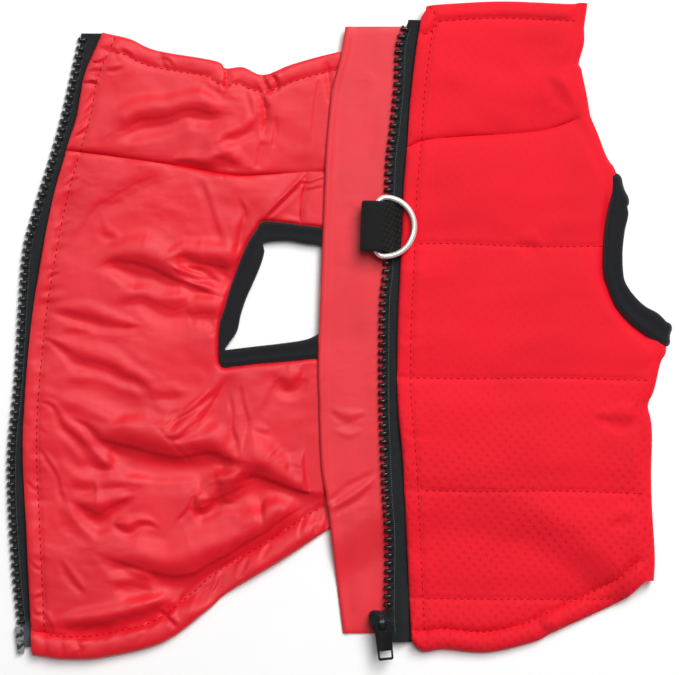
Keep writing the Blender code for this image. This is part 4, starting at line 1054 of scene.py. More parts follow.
@dataclass(frozen=True)
class Satin(Finish):
    """Thin woven lining with a soft sheen.

    Attributes:
        sheen: how much the cloth shines at its edges.
        crumple: how crumpled it is.
    """

    sheen: float = 0.35
    crumple: float = 1.0

    def paint(self, tree: ShaderTree) -> None:
        """Fine threads both ways, slightly uneven dye, and soft crumples with sharper bends in places.

        Args:
            tree: the material's tree.
        """
        x, y, _ = tree.place()
        threads = ((x * 9.0).sine() * (y * 10.5).sine()).positive()
        cloudy = tree.noise(28.0, 3.0)
        slub = tree.noise(1.6, 2.0, stretch=(6.0, 1.0, 1.0))
        soft = tree.noise(11.0, 2.0, stretch=(1.0, 1.7, 1.0))
        bent = tree.noise(6.0, 1.0, stretch=(1.6, 1.0, 1.0))
        where = tree.noise(34.0, 1.0).ramp(0.42, 0.62)
        crumpled = (soft * 0.5 + bent.ramp(0.35, 0.65) * where * 0.16) * self.crumple
        tree.set(Base_Color=tree.blend(cloudy.ramp(0.3, 0.7), self.shaded(0.94), self.shaded(1.04)),
                 Roughness=slub * 0.10 + (self.rough - 0.05), Specular_IOR_Level=0.50,
                 Sheen_Weight=self.sheen, Sheen_Roughness=0.35, Sheen_Tint=(1.0, 0.62, 0.62, 1.0),
                 Normal=tree.bump(threads * 0.02 + slub * 0.03 + crumpled, 0.9, 1.0))


@dataclass(frozen=True)
class DimpledShell(Finish):
    """Outer cloth with small pressed dashes in a diamond pattern.

    Attributes:
        pitch: from dash to dash in a row, in millimetres.
        row: from row to row.
        tilt: how the rows run down to the right, in degrees.
    """

    pitch: float = 4.3
    row: float = 2.15
    tilt: float = 6.5

    def paint(self, tree: ShaderTree) -> None:
        """Dashes in rows, each second row half a pitch on, pressed in and painted darker as shade in them.
        They show most near the hem, over fine woven threads.

        Args:
            tree: the material's tree.
        """
        x, y, _ = tree.place()
        along, over = tree.turned(-self.tilt)
        over = over / self.row
        stagger = (over.whole() * 0.5).part()
        across = ((along / self.pitch + stagger).part() - 0.5) * (self.pitch / 0.75)
        upright = (over.part() - 0.5) * (self.row / 1.15)
        dash = (1 - (across * across + upright * upright) ** 1.5).ramp(0.0, 1.0)
        patchy = tree.noise(22.0, 2.0).ramp(0.30, 0.62)
        low_down = (y * -1.0).ramp(5.0, 75.0)
        shows = dash * (low_down * 0.75 + 0.25) * (patchy * 0.6 + 0.4)
        threads = ((x * 10.0).sine() * (y * 10.0).sine()).positive()
        slub, cloudy = tree.noise(1.2, 3.0), tree.noise(35.0, 2.0)
        plain = tree.blend(cloudy.ramp(0.3, 0.7), self.shaded(0.95), self.shaded(1.04))
        # Painted shade: the pressed dashes darker, most towards the hem and in patches.
        tree.set(Base_Color=tree.blend(shows * 0.30, plain, self.shaded(0.62)),
                 Roughness=slub * 0.1 + self.rough, Specular_IOR_Level=0.3,
                 Sheen_Weight=0.03, Sheen_Roughness=0.5, Sheen_Tint=(1.0, 0.5, 0.5, 1.0),
                 Normal=tree.bump(shows * -1.2 + threads * 0.12 + slub * 0.25, 0.16, 0.7))


FILM_GREY = (0.06, 0.075, 0.095)


@dataclass(frozen=True)
class Woven(Finish):
    """Narrow woven goods: binding, zip tape and webbing.

    Attributes:
        rib: from rib to rib, in millimetres.
        turn: the ribs' direction, in degrees from x.
        depth: how deep the ribs are, in millimetres.
        cross: how strongly ribs the other way show.
        film: below this y a clear film stiffens it, as at the foot of a zip tape.
    """

    rib: float = 0.6
    turn: float = 0.0
    depth: float = 0.08
    cross: float = 0.5
    film: float = -1000.0

    def paint(self, tree: ShaderTree) -> None:
        """Ribs both ways with their tops painted lighter and the gaps painted darker as shade, lint, a little
        wear, and the clear film's grey below its edge.

        Args:
            tree: the material's tree.
        """
        _, y, _ = tree.place()
        along, across = tree.turned(self.turn)
        beat = 2 * math.pi / self.rib
        picks = (along * beat * 0.8).sine().positive()
        weave_and_painted_shade = (across * beat).sine().positive() * (picks * self.cross + (1 - self.cross))
        lint, fibre = tree.noise(2.2, 4.0), tree.noise(0.5, 2.0)
        filmed = (y * -1.0 + fibre * 3.0).ramp(-self.film, 6.0 - self.film) * (lint * 0.7 + 0.45)
        # Painted light and shade: the ribs' tops lighter and the gaps between them darker.
        cloth = tree.blend(weave_and_painted_shade * (lint.ramp(0.35, 0.75) * 0.6 + 0.2), self.shaded(0.6), self.shaded(2.1))
        tree.set(Base_Color=tree.blend(filmed, cloth, FILM_GREY),
                 Roughness=fibre * 0.15 + self.rough - filmed * 0.35, Specular_IOR_Level=0.25,
                 Sheen_Weight=0.12, Sheen_Roughness=0.6,
                 Normal=tree.bump(weave_and_painted_shade + fibre * 0.2, self.depth, 0.9))


@dataclass(frozen=True)
class Webbing(Finish):
    """Webbing with a close rib at its folded end and an open twill beside the ring.

    Attributes:
        pitch: the twill's cells, in millimetres.
        change: where the twill starts, in x.
    """

    pitch: float = 2.5
    change: float = 17.0

    def paint(self, tree: ShaderTree) -> None:
        """Raised cells past the change, and fine ribs before it, their tops painted lighter and the gaps
        painted darker as shade.

        Args:
            tree: the material's tree.
        """
        x, y, _ = tree.place()
        beat = 2 * math.pi / self.pitch
        cells = (((x + y * 0.25) * beat).sine() * ((y - x * 0.45) * beat).sine()).positive()
        ribs = (x * 9.0).sine().positive()
        open_weave = x.ramp(self.change - 1.2, self.change + 1.2)
        fibre = tree.noise(0.5, 2.0)
        weave_and_painted_shade = cells * open_weave + (ribs * 0.15 + 0.45) * (1 - open_weave)
        # Painted light and shade: the raised cells lighter and the gaps between them darker.
        tree.set(Base_Color=tree.blend(weave_and_painted_shade.ramp(0.15, 0.95), self.shaded(0.5), self.shaded(2.6)),
                 Roughness=fibre * 0.15 + self.rough, Specular_IOR_Level=0.22,
                 Sheen_Weight=0.05, Sheen_Roughness=0.6, Normal=tree.bump(weave_and_painted_shade + fibre * 0.1, 0.30, 0.9))


@dataclass(frozen=True)
class Resin(Finish):
    """Moulded glossy plastic."""

    def paint(self, tree: ShaderTree) -> None:
        """A faint mould texture and fingermarks in the gloss.

        Args:
            tree: the material's tree.
        """
        marks, grain = tree.noise(5.0, 3.0), tree.noise(0.35, 2.0)
        tree.set(Base_Color=tree.blend(marks.ramp(0.3, 0.8), self.color, self.shaded(1.8)),
                 Roughness=marks.ramp(0.3, 0.7) * 0.16 + self.rough, Normal=tree.bump(grain, 0.02, 0.35))


@dataclass(frozen=True)
class PaintedReflectionResin(Finish):
    """Glossy plastic of the pin: grey, with dark bands that run round it at a slant, a painted reflection;
    the bands are dented in as well.
    """

    def paint(self, tree: ShaderTree) -> None:
        """A painted reflection: glossy grey with dark bands at uneven distances, which are also dented in.

        Args:
            tree: the material's tree.
        """
        x, y, _ = tree.place()
        reflection_bands_painted_and_dented = (y * 1.5 - x * 1.1 + tree.noise(3.0, 2.0) * 9.0).sine().ramp(-0.2, 0.8)
        edge = tree.noise(1.4, 3.0)
        # Painted reflection: the pin's grey and its dark slanting bands stand for what its gloss reflects.
        tree.set(Base_Color=tree.blend(reflection_bands_painted_and_dented, self.shaded(1.25), self.shaded(0.12)),
                 Roughness=edge * 0.2 + self.rough, Normal=tree.bump(reflection_bands_painted_and_dented * -1.0 + edge * 0.3, 0.25, 0.8))


@dataclass(frozen=True)
class Nickel(Finish):
    """Polished plated wire."""

    def paint(self, tree: ShaderTree) -> None:
        """Hairline scratches and a slightly warm tint in places.

        Args:
            tree: the material's tree.
        """
        rub, scratch = tree.noise(3.5, 3.0), tree.noise(0.6, 3.0, stretch=(8.0, 1.0, 1.0))
        tree.set(Base_Color=tree.blend(rub.ramp(0.35, 0.75), self.color, self.shaded(0.93)), Metallic=0.6,
                 Roughness=scratch.ramp(0.4, 0.8) * 0.12 + self.rough, Normal=tree.bump(scratch, 0.003, 0.3))


@dataclass(frozen=True)
class Thread(Finish):
    """Sewing thread."""

    def paint(self, tree: ShaderTree) -> None:
        """A twisted yarn, with the ridges of its plies painted lighter and the hollows between them painted
        darker as shade.

        Args:
            tree: the material's tree.
        """
        x, y, z = tree.place()
        twist_and_painted_shade = ((x + y) * 14.0 + z * 9.0).sine().positive()
        # Painted light and shade: the ridges of the plies lighter and the hollows between them darker.
        tree.set(Base_Color=tree.blend(twist_and_painted_shade, self.shaded(0.7), self.shaded(1.15)), Roughness=self.rough,
                 Specular_IOR_Level=0.15, Normal=tree.bump(twist_and_painted_shade, 0.04, 0.6))


@dataclass(frozen=True)
class Table(Finish):
    """The pale plain surface that the coat lies on."""

    def paint(self, tree: ShaderTree) -> None:
        """Nearly white, with a barely visible grain.

        Args:
            tree: the material's tree.
        """
        tree.set(Base_Color=tree.blend(tree.noise(14.0, 3.0), self.color, self.shaded(1.02)),
                 Roughness=self.rough, Specular_IOR_Level=0.1)


LINING = Satin("lining", (0.74, 0.003, 0.016), 0.54, sheen=0.0)
FLAP_SATIN = Satin("flap_cloth", (0.75, 0.016, 0.030), 0.54, sheen=0.02, crumple=0.4)
SHELL = DimpledShell("shell", (0.79, 0.003, 0.017), 0.72)
BINDING = Woven("binding_tape", (0.004, 0.0045, 0.0075), 0.70, rib=0.55, turn=45.0, depth=0.07)
ZIP_TAPE = Woven("zip_tape", (0.009, 0.012, 0.0135), 0.80, rib=0.7, turn=90.0, depth=0.09)
WEBBING = Webbing("webbing", (0.0035, 0.0036, 0.0034), 0.70)
RESIN = Resin("resin", (0.006, 0.006, 0.007), 0.20)
NICKEL = Nickel("nickel", (0.96, 0.92, 0.89), 0.30)
FILMED_TAPE = replace(ZIP_TAPE, name="filmed_tape", film=-113.0)
# The pin's grey with dark bands is a painted reflection.
PIN_RESIN = PaintedReflectionResin("painted_reflection_resin", (0.17, 0.175, 0.18), 0.28)
RED_THREAD = Thread("red_thread", (0.46, 0.003, 0.012), 0.9)
TAPE_THREAD = Thread("tape_thread", (0.13, 0.14, 0.145), 0.7)
BLACK_THREAD = Thread("black_thread", (0.008, 0.008, 0.010), 0.6)
TABLE = Table("table", (0.96, 0.96, 0.96), 0.9)


class Slot(Enum):
    """The material slots, by name."""

    LINING = "lining"
    SHELL = "shell"
    FLAP = "flap_cloth"
    BINDING = "binding_tape"
    TAPE = "zip_tape"
    RESIN = "resin"
    WEBBING = "webbing"
    NICKEL = "nickel"


# ---------------------------------------------------------------- heights of the cloth


@dataclass(frozen=True)
class Roll:
    """The height across a turned and stitched edge, as a hem, a casing or a placket has.

    Attributes:
        stitch: how far in its stitching is.
        edge: its height at the outline.
        crown: its greatest height.
        dip: its height at the stitching.
        round: how round it is between: 1 is a full arch, and less is flatter on top.
    """

    stitch: float
    edge: float
    crown: float
    dip: float
    round: float = 0.6

    def relief(self, away: Array, base: float = LINING_LEVEL) -> Array:
        """What the edge adds to a plain height: a rounded tube up to the stitching, then a quick rise.

        Args:
            away: the distance from the outline.
            base: the plain height.

        Returns:
            What is added, below 0 where it dips.
        """
        part = np.clip(away / self.stitch, 0, 1)
        level = self.edge * (1 - part) + self.dip * part
        tube = level + (self.crown - level) * np.sin(np.pi * part) ** self.round
        past = self.dip + (base - self.dip) * (1 - fading(np.maximum(away - self.stitch, 0), 2.6))
        return np.where(away < self.stitch, tube, past) - base


HEM_ROLL = Roll(HEM_STITCH, 1.6, 4.2, 2.5, 0.36)
CASING_ROLL = Roll(CASING, 2.4, 3.2, 3.0)
PLACKET_ROLL = Roll(PLACKET, 2.6, 3.2, 3.1)
SHELL_HEM = Roll(8.0, 1.9, 4.1, 2.4)
SHELL_PLACKET = Roll(5.3, 2.4, 3.2, 3.0)
SHELL_CASING = Roll(6.6, 2.0, 3.7, 2.7)


def seam(away: Array, deep: float = 1.3) -> Array:
    """The groove beside a plain seam: a narrow cleft in a shallow hollow."""
    return -deep * (0.65 * fading(away, 0.8) + 0.35 * fading(away, 3.5))


def stitch_groove(*away: Array) -> Array:
    """The fine groove in which a row of stitches lies, for each distance from such a row."""
    return -0.42 * sum(hump(part, 1.1) for part in away)


def together(*reliefs: Array) -> Array:
    """Reliefs of several edges as one: the deepest dip and the highest rise, so that corners stay whole."""
    stack = np.stack(np.broadcast_arrays(*reliefs))
    return np.minimum(stack, 0).min(0) + np.maximum(stack, 0).max(0)


def puckers(seed: int, along: Array, away: Array, stitch: float, deep: float, pitch: float = 3.4) -> Array:
    """Small gathers across a stitched line, which fade with the distance from it.

    Args:
        seed: picks the pattern.
        along: how far along the line each point is.
        away: how far from the outline it is.
        stitch: how far from the outline the line is.
        deep: the gathers' height.
        pitch: the finer gathers' length along the line.

    Returns:
        What the gathers add to the height.
    """
    fine = Noise(seed, pitch, 9.0).at(along, away)
    coarse = Noise(seed + 1, pitch * 2.7, 14.0).at(along, away)
    return deep * 0.6 * (fine + coarse) * fading(np.abs(away - stitch), 4.5)


def turned_up(edge: Array, into_hole: Array, lift: float = 0.7) -> Array:
    """The shell's height on the table: a little up at the outline, and up into the binding."""
    return np.maximum(lift * fading(edge, 0.8), LOWEST * fading(into_hole, 1.0))


def bed(x: Array, y: Array) -> Array:
    """Where the top layer lies: on the lower layer, and down on the table past its hem and neck."""
    past = np.maximum(LOWER_HEM.y_at(x) - y, y - NECK.y_at(x))
    return (CLOTH + GAP) * (1 - ease((past - BED_START) / BED_FALL))


def ceiling(x: Array, y: Array) -> Array:
    """The most that the lower layer may rise: its plain height under the flap, and more beside it."""
    return CLOTH + 0.8 * np.maximum(FLAP_EDGE.x_at(y) - 6 - x, 0)


def lining_height(patch: Patch, edges: Array) -> Array:
    """The lining's height: plain wadding, its edges, the listed folds, billows and fine wrinkles.

    Args:
        patch: the panel's grid.
        edges: what the edges add. Billows fade where they dip.

    Returns:
        The height at each point. What would go deep is drawn up, and the ceiling holds down the rest.
    """
    x, y = patch.x, patch.y
    free = ease((edges + 1.6) / 1.6)
    billow = 0.60 * Noise(3, 30, 17, 18).at(x, y) + 0.22 * Noise(4, 15, 8, -22).at(x, y)
    wrinkles = 0.10 * Noise(5, 12, 4.0, 14).at(x, y) + 0.08 * Noise(6, 9, 3.4, -24).at(x, y)
    padding = 0.7 * ease((FLAP_EDGE.x_at(y) - 10 - x) / 14) * free
    height = LINING_LEVEL + edges + padding + (billow + wrinkles) * free
    for fold in LINING_FOLDS:
        height = height + fold.relief(x, y)
    deep = 1.0 + 1.4 * np.exp((np.minimum(height, 2.4) - 2.4) / 1.4)
    return np.minimum(np.where(height < 2.4, deep, height), ceiling(x, y))


def around(bands: Sequence[Band], stations: int, closed: bool) -> tuple[Array, Array]:
    """Both sides of a binding at even steps, (stations, 2) each.

    Args:
        bands: where the binding starts and ends across, in order.
        stations: how many steps.
        closed: whether it goes all round.

    Returns:
        The hole's side and the cloth's side.
    """
    where = np.linspace(0, len(bands) if closed else len(bands) - 1, stations, endpoint=not closed)
    sides = []
    for side in range(2):
        line = Line(*[band[side] for band in bands], closed=closed)
        step = np.arange(len(line.points)) / Line.STEPS
        sides.append(np.stack([np.interp(where, step, line.points[:, axis]) for axis in (0, 1)], -1))
    return sides[0], sides[1]


class Armhole:
    """An opening with its binding.

    Attributes:
        hole, cloth: the binding's two sides in plan.
        cut: the outline that is cut out of the cloth, a little way under the binding.
        covered: the outline of the binding's cloth side.
        rim: that side as a line.
    """

    UNDER = 1.6

    def __init__(self, bands: Sequence[Band], stations: int, closed: bool) -> None:
        """Works out both sides and the cut.

        Args:
            bands: where the binding starts and ends across.
            stations: how many steps it has.
            closed: whether it goes all round, or the fold halves it.
        """
        self.hole, self.cloth = around(bands, stations, closed)
        inwards = unit(self.hole - self.cloth)

        def border(under: float) -> Outline:
            """The opening's outline some way under the binding, and for an open one past the fold as well.

            Args:
                under: how far it lies under the binding.

            Returns:
                The outline.
            """
            edge = self.cloth + under * inwards
            if closed:
                return Outline(edge)
            first, last = edge[0], edge[-1]
            return Outline(np.vstack([first + (14, 7), first + (4.2, 2.0), edge, last + (4.4, -1.4),
                                      last + (18, -5), (150, 30)]))

        self.cut, self.covered = border(self.UNDER), border(0.0)
        self.rim = Line(*self.cloth[::3], closed=closed)

    def dip(self, x: Array, y: Array) -> Array:
        """How far each place is from the binding's cloth side.

        Args:
            x, y: places in plan.

        Returns:
            The distance of each, 0 under the binding and large where it is far.
        """
        away = np.full(x.shape, 1e3)
        low, high = self.cloth.min(0) - 12, self.cloth.max(0) + 12
        near = (x > low[0]) & (x < high[0]) & (y > low[1]) & (y < high[1])
        px, py = x[near], y[near]
        away[near] = np.where(self.covered.holds(px, py), 0.0, self.rim.away(px, py))
        return away


LEFT_HOLE = Armhole(LEFT_ARMHOLE, 240, closed=True)
RIGHT_HOLE = Armhole(RIGHT_ARMHOLE, 90, closed=False)


# ---------------------------------------------------------------- the coat's panels


@dataclass(frozen=True)
class Cut:
    """A cut piece of cloth, with its names, its material slot, its flat size and how it lies.

    Attributes:
        name: the object's name.
        node: the node that it stands for.
        slot: its material slot.
        flat: the width and length that it was cut to, in metres.
        area: its flat area in square metres.
        held: how it lies.
    """

    name: str
    node: str
    slot: Slot
    flat: tuple[float, float]
    area: float
    held: str = "laid"

    def declare(self, made: bpy.types.Object, *sewn_on: Union[bpy.types.Object, str]) -> None:
        """Lets the object ride on the coat, hides the node that it stands for, and logs its faces.

        Args:
            made: the object.
            sewn_on: rows of stitches that go with it; not used.
        """
        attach(made, BODY)
        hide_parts(self.node)
        LOG.info("%s: %d faces", made.name, len(made.data.polygons))


def sewn(made: bpy.types.Object, node: Optional[str] = None,
         body: str = BODY) -> bpy.types.Object:
    """Lets a trim or a row of stitches ride on a body.

    Args:
        made: the object.
        node: the node that it replaces, if it has one.
        body: the body that carries it.

    Returns:
        The object.
    """
    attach(made, body)
    if node:
        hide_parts(node)
    LOG.info("%s: %d faces", made.name, len(made.data.polygons))
    return made


ROWS = 270
COLLAR_ROWS = 66


@dataclass(frozen=True)
class LowerLayer:
    """The layer on the table: its lining shows, and its shell lies on the table.

    Attributes:
        back: the left back panel.
        belly: the belly panel.
    """

    back: Cut = Cut("left_back_panel", "back_left", Slot.LINING, (0.118, 0.199), 0.0185)
    belly: Cut = Cut("belly_panel", "belly", Slot.LINING, (0.119, 0.161), 0.0160)

    def face(self, patch: Patch, height: Array, into_hole: Array) -> Array:
        """The lining's points, drawn down beside the binding and held down under the flap."""
        height = np.minimum(height, 2.1 + 2.6 * into_hole)
        return patch.lifted(np.clip(height, LOWEST, ceiling(patch.x, patch.y)))

    def build_back(self) -> None:
        """The left back panel with its zip's placket, its hem and its half of the armhole."""
        patch = Patch.between(LEFT_HEM, LEFT_COLLAR_SEAM, LEFT_ZIP_LOW, LEFT_SIDE, ROWS)
        hem, zip_side = patch.from_line(LEFT_HEM, patch.south), patch.from_line(LEFT_ZIP, patch.west)
        into_hole = LEFT_HOLE.dip(patch.x, patch.y)
        height = lining_height(patch, together(
            HEM_ROLL.relief(hem), PLACKET_ROLL.relief(zip_side), seam(patch.north, 0.6),
            seam(patch.east, 0.9), -1.5 * fading(into_hole, 0.7)))
        height += puckers(11, patch.west - 0.8 * hem, hem, HEM_STITCH, 0.85)
        height += puckers(13, patch.south, zip_side, PLACKET, 0.62, 2.6)
        height += puckers(15, patch.west, patch.north, 0.0, 0.45, 5.0)
        height += puckers(17, patch.south, into_hole, 3.0, 0.5, 5.0) * ease(into_hole / 2)
        height += stitch_groove(hem - HEM_STITCH, zip_side - PLACKET)
        face = self.face(patch, height, into_hole)
        under = turned_up(np.minimum(patch.south, patch.west), into_hole)
        made = wall(self.back.name, face, patch.lifted(under), [LINING, SHELL], LEFT_HOLE.cut)
        row, column = contour(face, hem - HEM_STITCH), upright_contour(face, zip_side - PLACKET)
        paths = [row[row[:, 0] > LEFT_ZIP.x_at(row[:, 1]) + PLACKET + 0.6],
                 column[column[:, 1] > LEFT_HEM.y_at(column[:, 0]) + HEM_STITCH]]
        stitches = Stitches(2.6, 2.0, 0.70, 0.20).sew("left_panel_stitches", paths, RED_THREAD)
        self.back.declare(made, sewn(stitches))

    def build_belly(self) -> None:
        """The belly panel, whose strip left of the flap shows."""
        patch = Patch.between(HIDDEN_HEM, BELLY_COLLAR_SEAM, LEFT_SIDE, RIGHT_SIDE, ROWS, columns=100)
        hem = patch.from_line(LOWER_HEM, patch.south)
        into_hole = np.minimum(LEFT_HOLE.dip(patch.x, patch.y), RIGHT_HOLE.dip(patch.x, patch.y))
        height = lining_height(patch, together(
            np.minimum(HEM_ROLL.relief(hem), 0), seam(patch.north, 0.6), seam(patch.west, 0.9),
            seam(patch.east, 0.9), -1.5 * fading(into_hole, 0.7)))
        height += puckers(19, patch.west, patch.north, 0.0, 0.3, 5.0)
        under = patch.lifted(turned_up(patch.south, into_hole))
        both = Outline(LEFT_HOLE.cut.starts, RIGHT_HOLE.cut.starts)
        face = self.face(patch, height, into_hole)
        self.belly.declare(wall(self.belly.name, face, under, [LINING, SHELL], both))

    def build(self) -> None:
        """Both panels."""
        self.build_back()
        self.build_belly()


@dataclass(frozen=True)
class FoldedPanel(ABC):
    """A panel that lies on the table, turns over at the fold and comes back on top, shell up.

    Attributes:
        cut: the piece of cloth.
        segments: steps round the fold.
    """

    cut: Cut
    segments: int = 14

    @abstractmethod
    def patches(self) -> tuple[Patch, Patch]:
        """The grid on the table and the grid on top."""

    @abstractmethod
    def heights(self, low: Patch, high: Patch) -> tuple[Array, Array]:
        """The lining's height on the table, and the puff of the top, for the two grids."""

    @abstractmethod
    def stitched(self, high: Patch, face: Array, low: Patch, low_face: Array) -> list[Array]:
        """The paths of the stitching, for each grid and its surface."""

    def top(self, high: Patch, puff: Array) -> tuple[Array, Array]:
        """The top layer on its bed, lifted over the flap at the zip.

        Args:
            high: the grid on top.
            puff: what its channels and edges add.

        Returns:
            The heights of its underside and its upper side.
        """
        lies = CLOTH + GAP + (bed(high.x, high.y) - CLOTH - GAP) * ease(high.west / 15.0)
        from_zip = high.x - RIGHT_ZIP.x_at(high.y)
        under = lies + (FLAP + GAP) * (1 - ease((from_zip - FLAP_UNDER - 1.0) / 5.0))
        raised = 0.7 * (1 - ease((from_zip - 5.0) / 7.0))
        over = lies + TOP_CLOTH + puff * ease(high.west / 5.0) + raised
        return under, np.maximum(over, under + 1.0)

    def turned(self, low: Patch, low_top: Array, high: Patch, puff: Array) -> tuple[Array, Array]:
        """The whole panel: the table's grid, a half circle at the fold, and the top's grid.

        Args:
            low, high: the two grids.
            low_top: the lining's height on the table.
            puff: what the top's channels and edges add.

        Returns:
            The shell's and the lining's points.
        """
        angle = np.linspace(-np.pi / 2, np.pi / 2, self.segments + 1)[1:-1]
        edge_x, edge_y = high.x[:, :1], high.y[:, :1]
        under, over = self.top(high, puff)
        swell = 1 + 0.10 * Noise(31, 5, 13).at(edge_x, edge_y) * np.sin(angle + np.pi / 2)

        def arc(radius: Array, middle: float) -> Array:
            """A half circle round the fold, by its radius and the height of its centre."""
            return np.stack(np.broadcast_arrays(edge_x + radius * np.cos(angle), edge_y,
                                                middle + radius * np.sin(angle)), -1)

        outline = turned_up(low.south, RIGHT_HOLE.dip(low.x, low.y), 0.6) * ease(low.east / 2)
        shell = (low.lifted(outline), arc(FOLD_RADIUS * swell, FOLD_RADIUS), high.lifted(over))
        lining = (low.lifted(low_top), arc(FOLD_INNER, CLOTH + GAP / 2), high.lifted(under))
        return np.concatenate(shell, axis=1), np.concatenate(lining, axis=1)

    def build(self) -> None:
        """Makes the panel and its stitching."""
        low, high = self.patches()
        low_top, puff = self.heights(low, high)
        shell, lining = self.turned(low, low_top, high, puff)
        made = wall(self.cut.name, shell, lining, [SHELL, LINING], RIGHT_HOLE.cut)
        paths = self.stitched(high, shell[:, -high.x.shape[1]:], low, lining[:, :low.x.shape[1]])
        stitches = Stitches(2.6, 2.0, 0.66, 0.20).sew(self.cut.name + "_stitches", paths, RED_THREAD)
        self.cut.declare(made, sewn(stitches))


@dataclass(frozen=True)
class RightBack(FoldedPanel):
    """The quilted right back panel."""

    def patches(self) -> tuple[Patch, Patch]:
        """The strip on the table and the quilted face."""
        return (Patch.between(STRIP_HEM, STRIP_COLLAR_SEAM, RIGHT_SIDE, FOLD_LOW, ROWS, columns=16),
                Patch.between(RIGHT_HEM, RIGHT_COLLAR_SEAM, FOLD_LOW, RIGHT_ZIP_LOW, ROWS, columns=132))

    def heights(self, low: Patch, high: Patch) -> tuple[Array, Array]:
        """Plain lining below. Above, channels between the quilting lines, a rolled hem and the placket.

        Args:
            low, high: the grids on the table and on top.

        Returns:
            The lining's height on the table, and the puff of the top.
        """
        low_top = CLOTH + np.minimum(HEM_ROLL.relief(low.south), 0) * ease(low.east / 4) + seam(low.west, 0.9)
        low_top = np.maximum(low_top - 1.4 * hump(RIGHT_HOLE.dip(low.x, low.y), 1.9), 1.0)
        x, y = high.x, high.y
        hem, zip_side = high.from_line(RIGHT_HEM_SEWN, high.south), high.from_line(RIGHT_ZIP, high.east)
        corner, into_hole = high.from_line(RIGHT_HEM, high.south), RIGHT_HOLE.dip(x, y)
        away = np.min([np.abs(y - line.y_at(x)) for line in QUILTING] + [high.north], axis=0)
        quilt = 0.95 * (1 - hump(away, 8.0)) - 0.45 * hump(away, 1.1)
        edges = together(SHELL_HEM.relief(hem), SHELL_PLACKET.relief(zip_side), seam(high.north, 1.4),
                         -2.7 * fading(into_hole, 1.3), -1.6 * fading(corner, 0.9) * ease((38 - x) / 4))
        soft = 0.30 * Noise(41, 30, 14, 4).at(x, y) + 0.16 * Noise(42, 13, 6, 8).at(x, y)
        puff = quilt * ease((edges + 1.6) / 1.6) + edges + soft
        puff += puckers(43, high.west, hem, SHELL_HEM.stitch, 0.45)
        puff += puckers(45, high.south, zip_side, SHELL_PLACKET.stitch, 0.38, 2.6)
        puff += stitch_groove(hem - SHELL_HEM.stitch, zip_side - SHELL_PLACKET.stitch)
        puff += puckers(47, high.west, away, 0.0, 0.22, 4.2) + sum(fold.relief(x, y) for fold in RIGHT_FOLDS)
        return low_top, np.minimum(puff, -1.5 + 1.6 * into_hole)

    def stitched(self, high: Patch, face: Array, low: Patch, low_face: Array) -> list[Array]:
        """The hem, the placket and the four quilting lines.

        Args:
            high, low: the grids on top and on the table; low is not used.
            face, low_face: their surfaces; low_face is not used.

        Returns:
            The paths, (n, 3) each.
        """
        hem, zip_side = high.from_line(RIGHT_HEM_SEWN, high.south), high.from_line(RIGHT_ZIP, high.east)
        row = contour(face, hem - SHELL_HEM.stitch)
        column = upright_contour(face[:, ::-1], zip_side[:, ::-1] - SHELL_PLACKET.stitch)
        paths = [row[row[:, 0] > RIGHT_ZIP.x_at(row[:, 1]) + 5.6],
                 column[column[:, 1] > RIGHT_HEM_SEWN.y_at(column[:, 0]) + SHELL_HEM.stitch]]
        for line in QUILTING:
            path = contour(face, high.y - line.y_at(high.x))
            clear = path[:, 0] > RIGHT_ZIP.x_at(path[:, 1]) + 5.5
            paths.append(path[clear & ~RIGHT_HOLE.cut.holds(path[:, 0] + 1.5, path[:, 1])])
        return paths


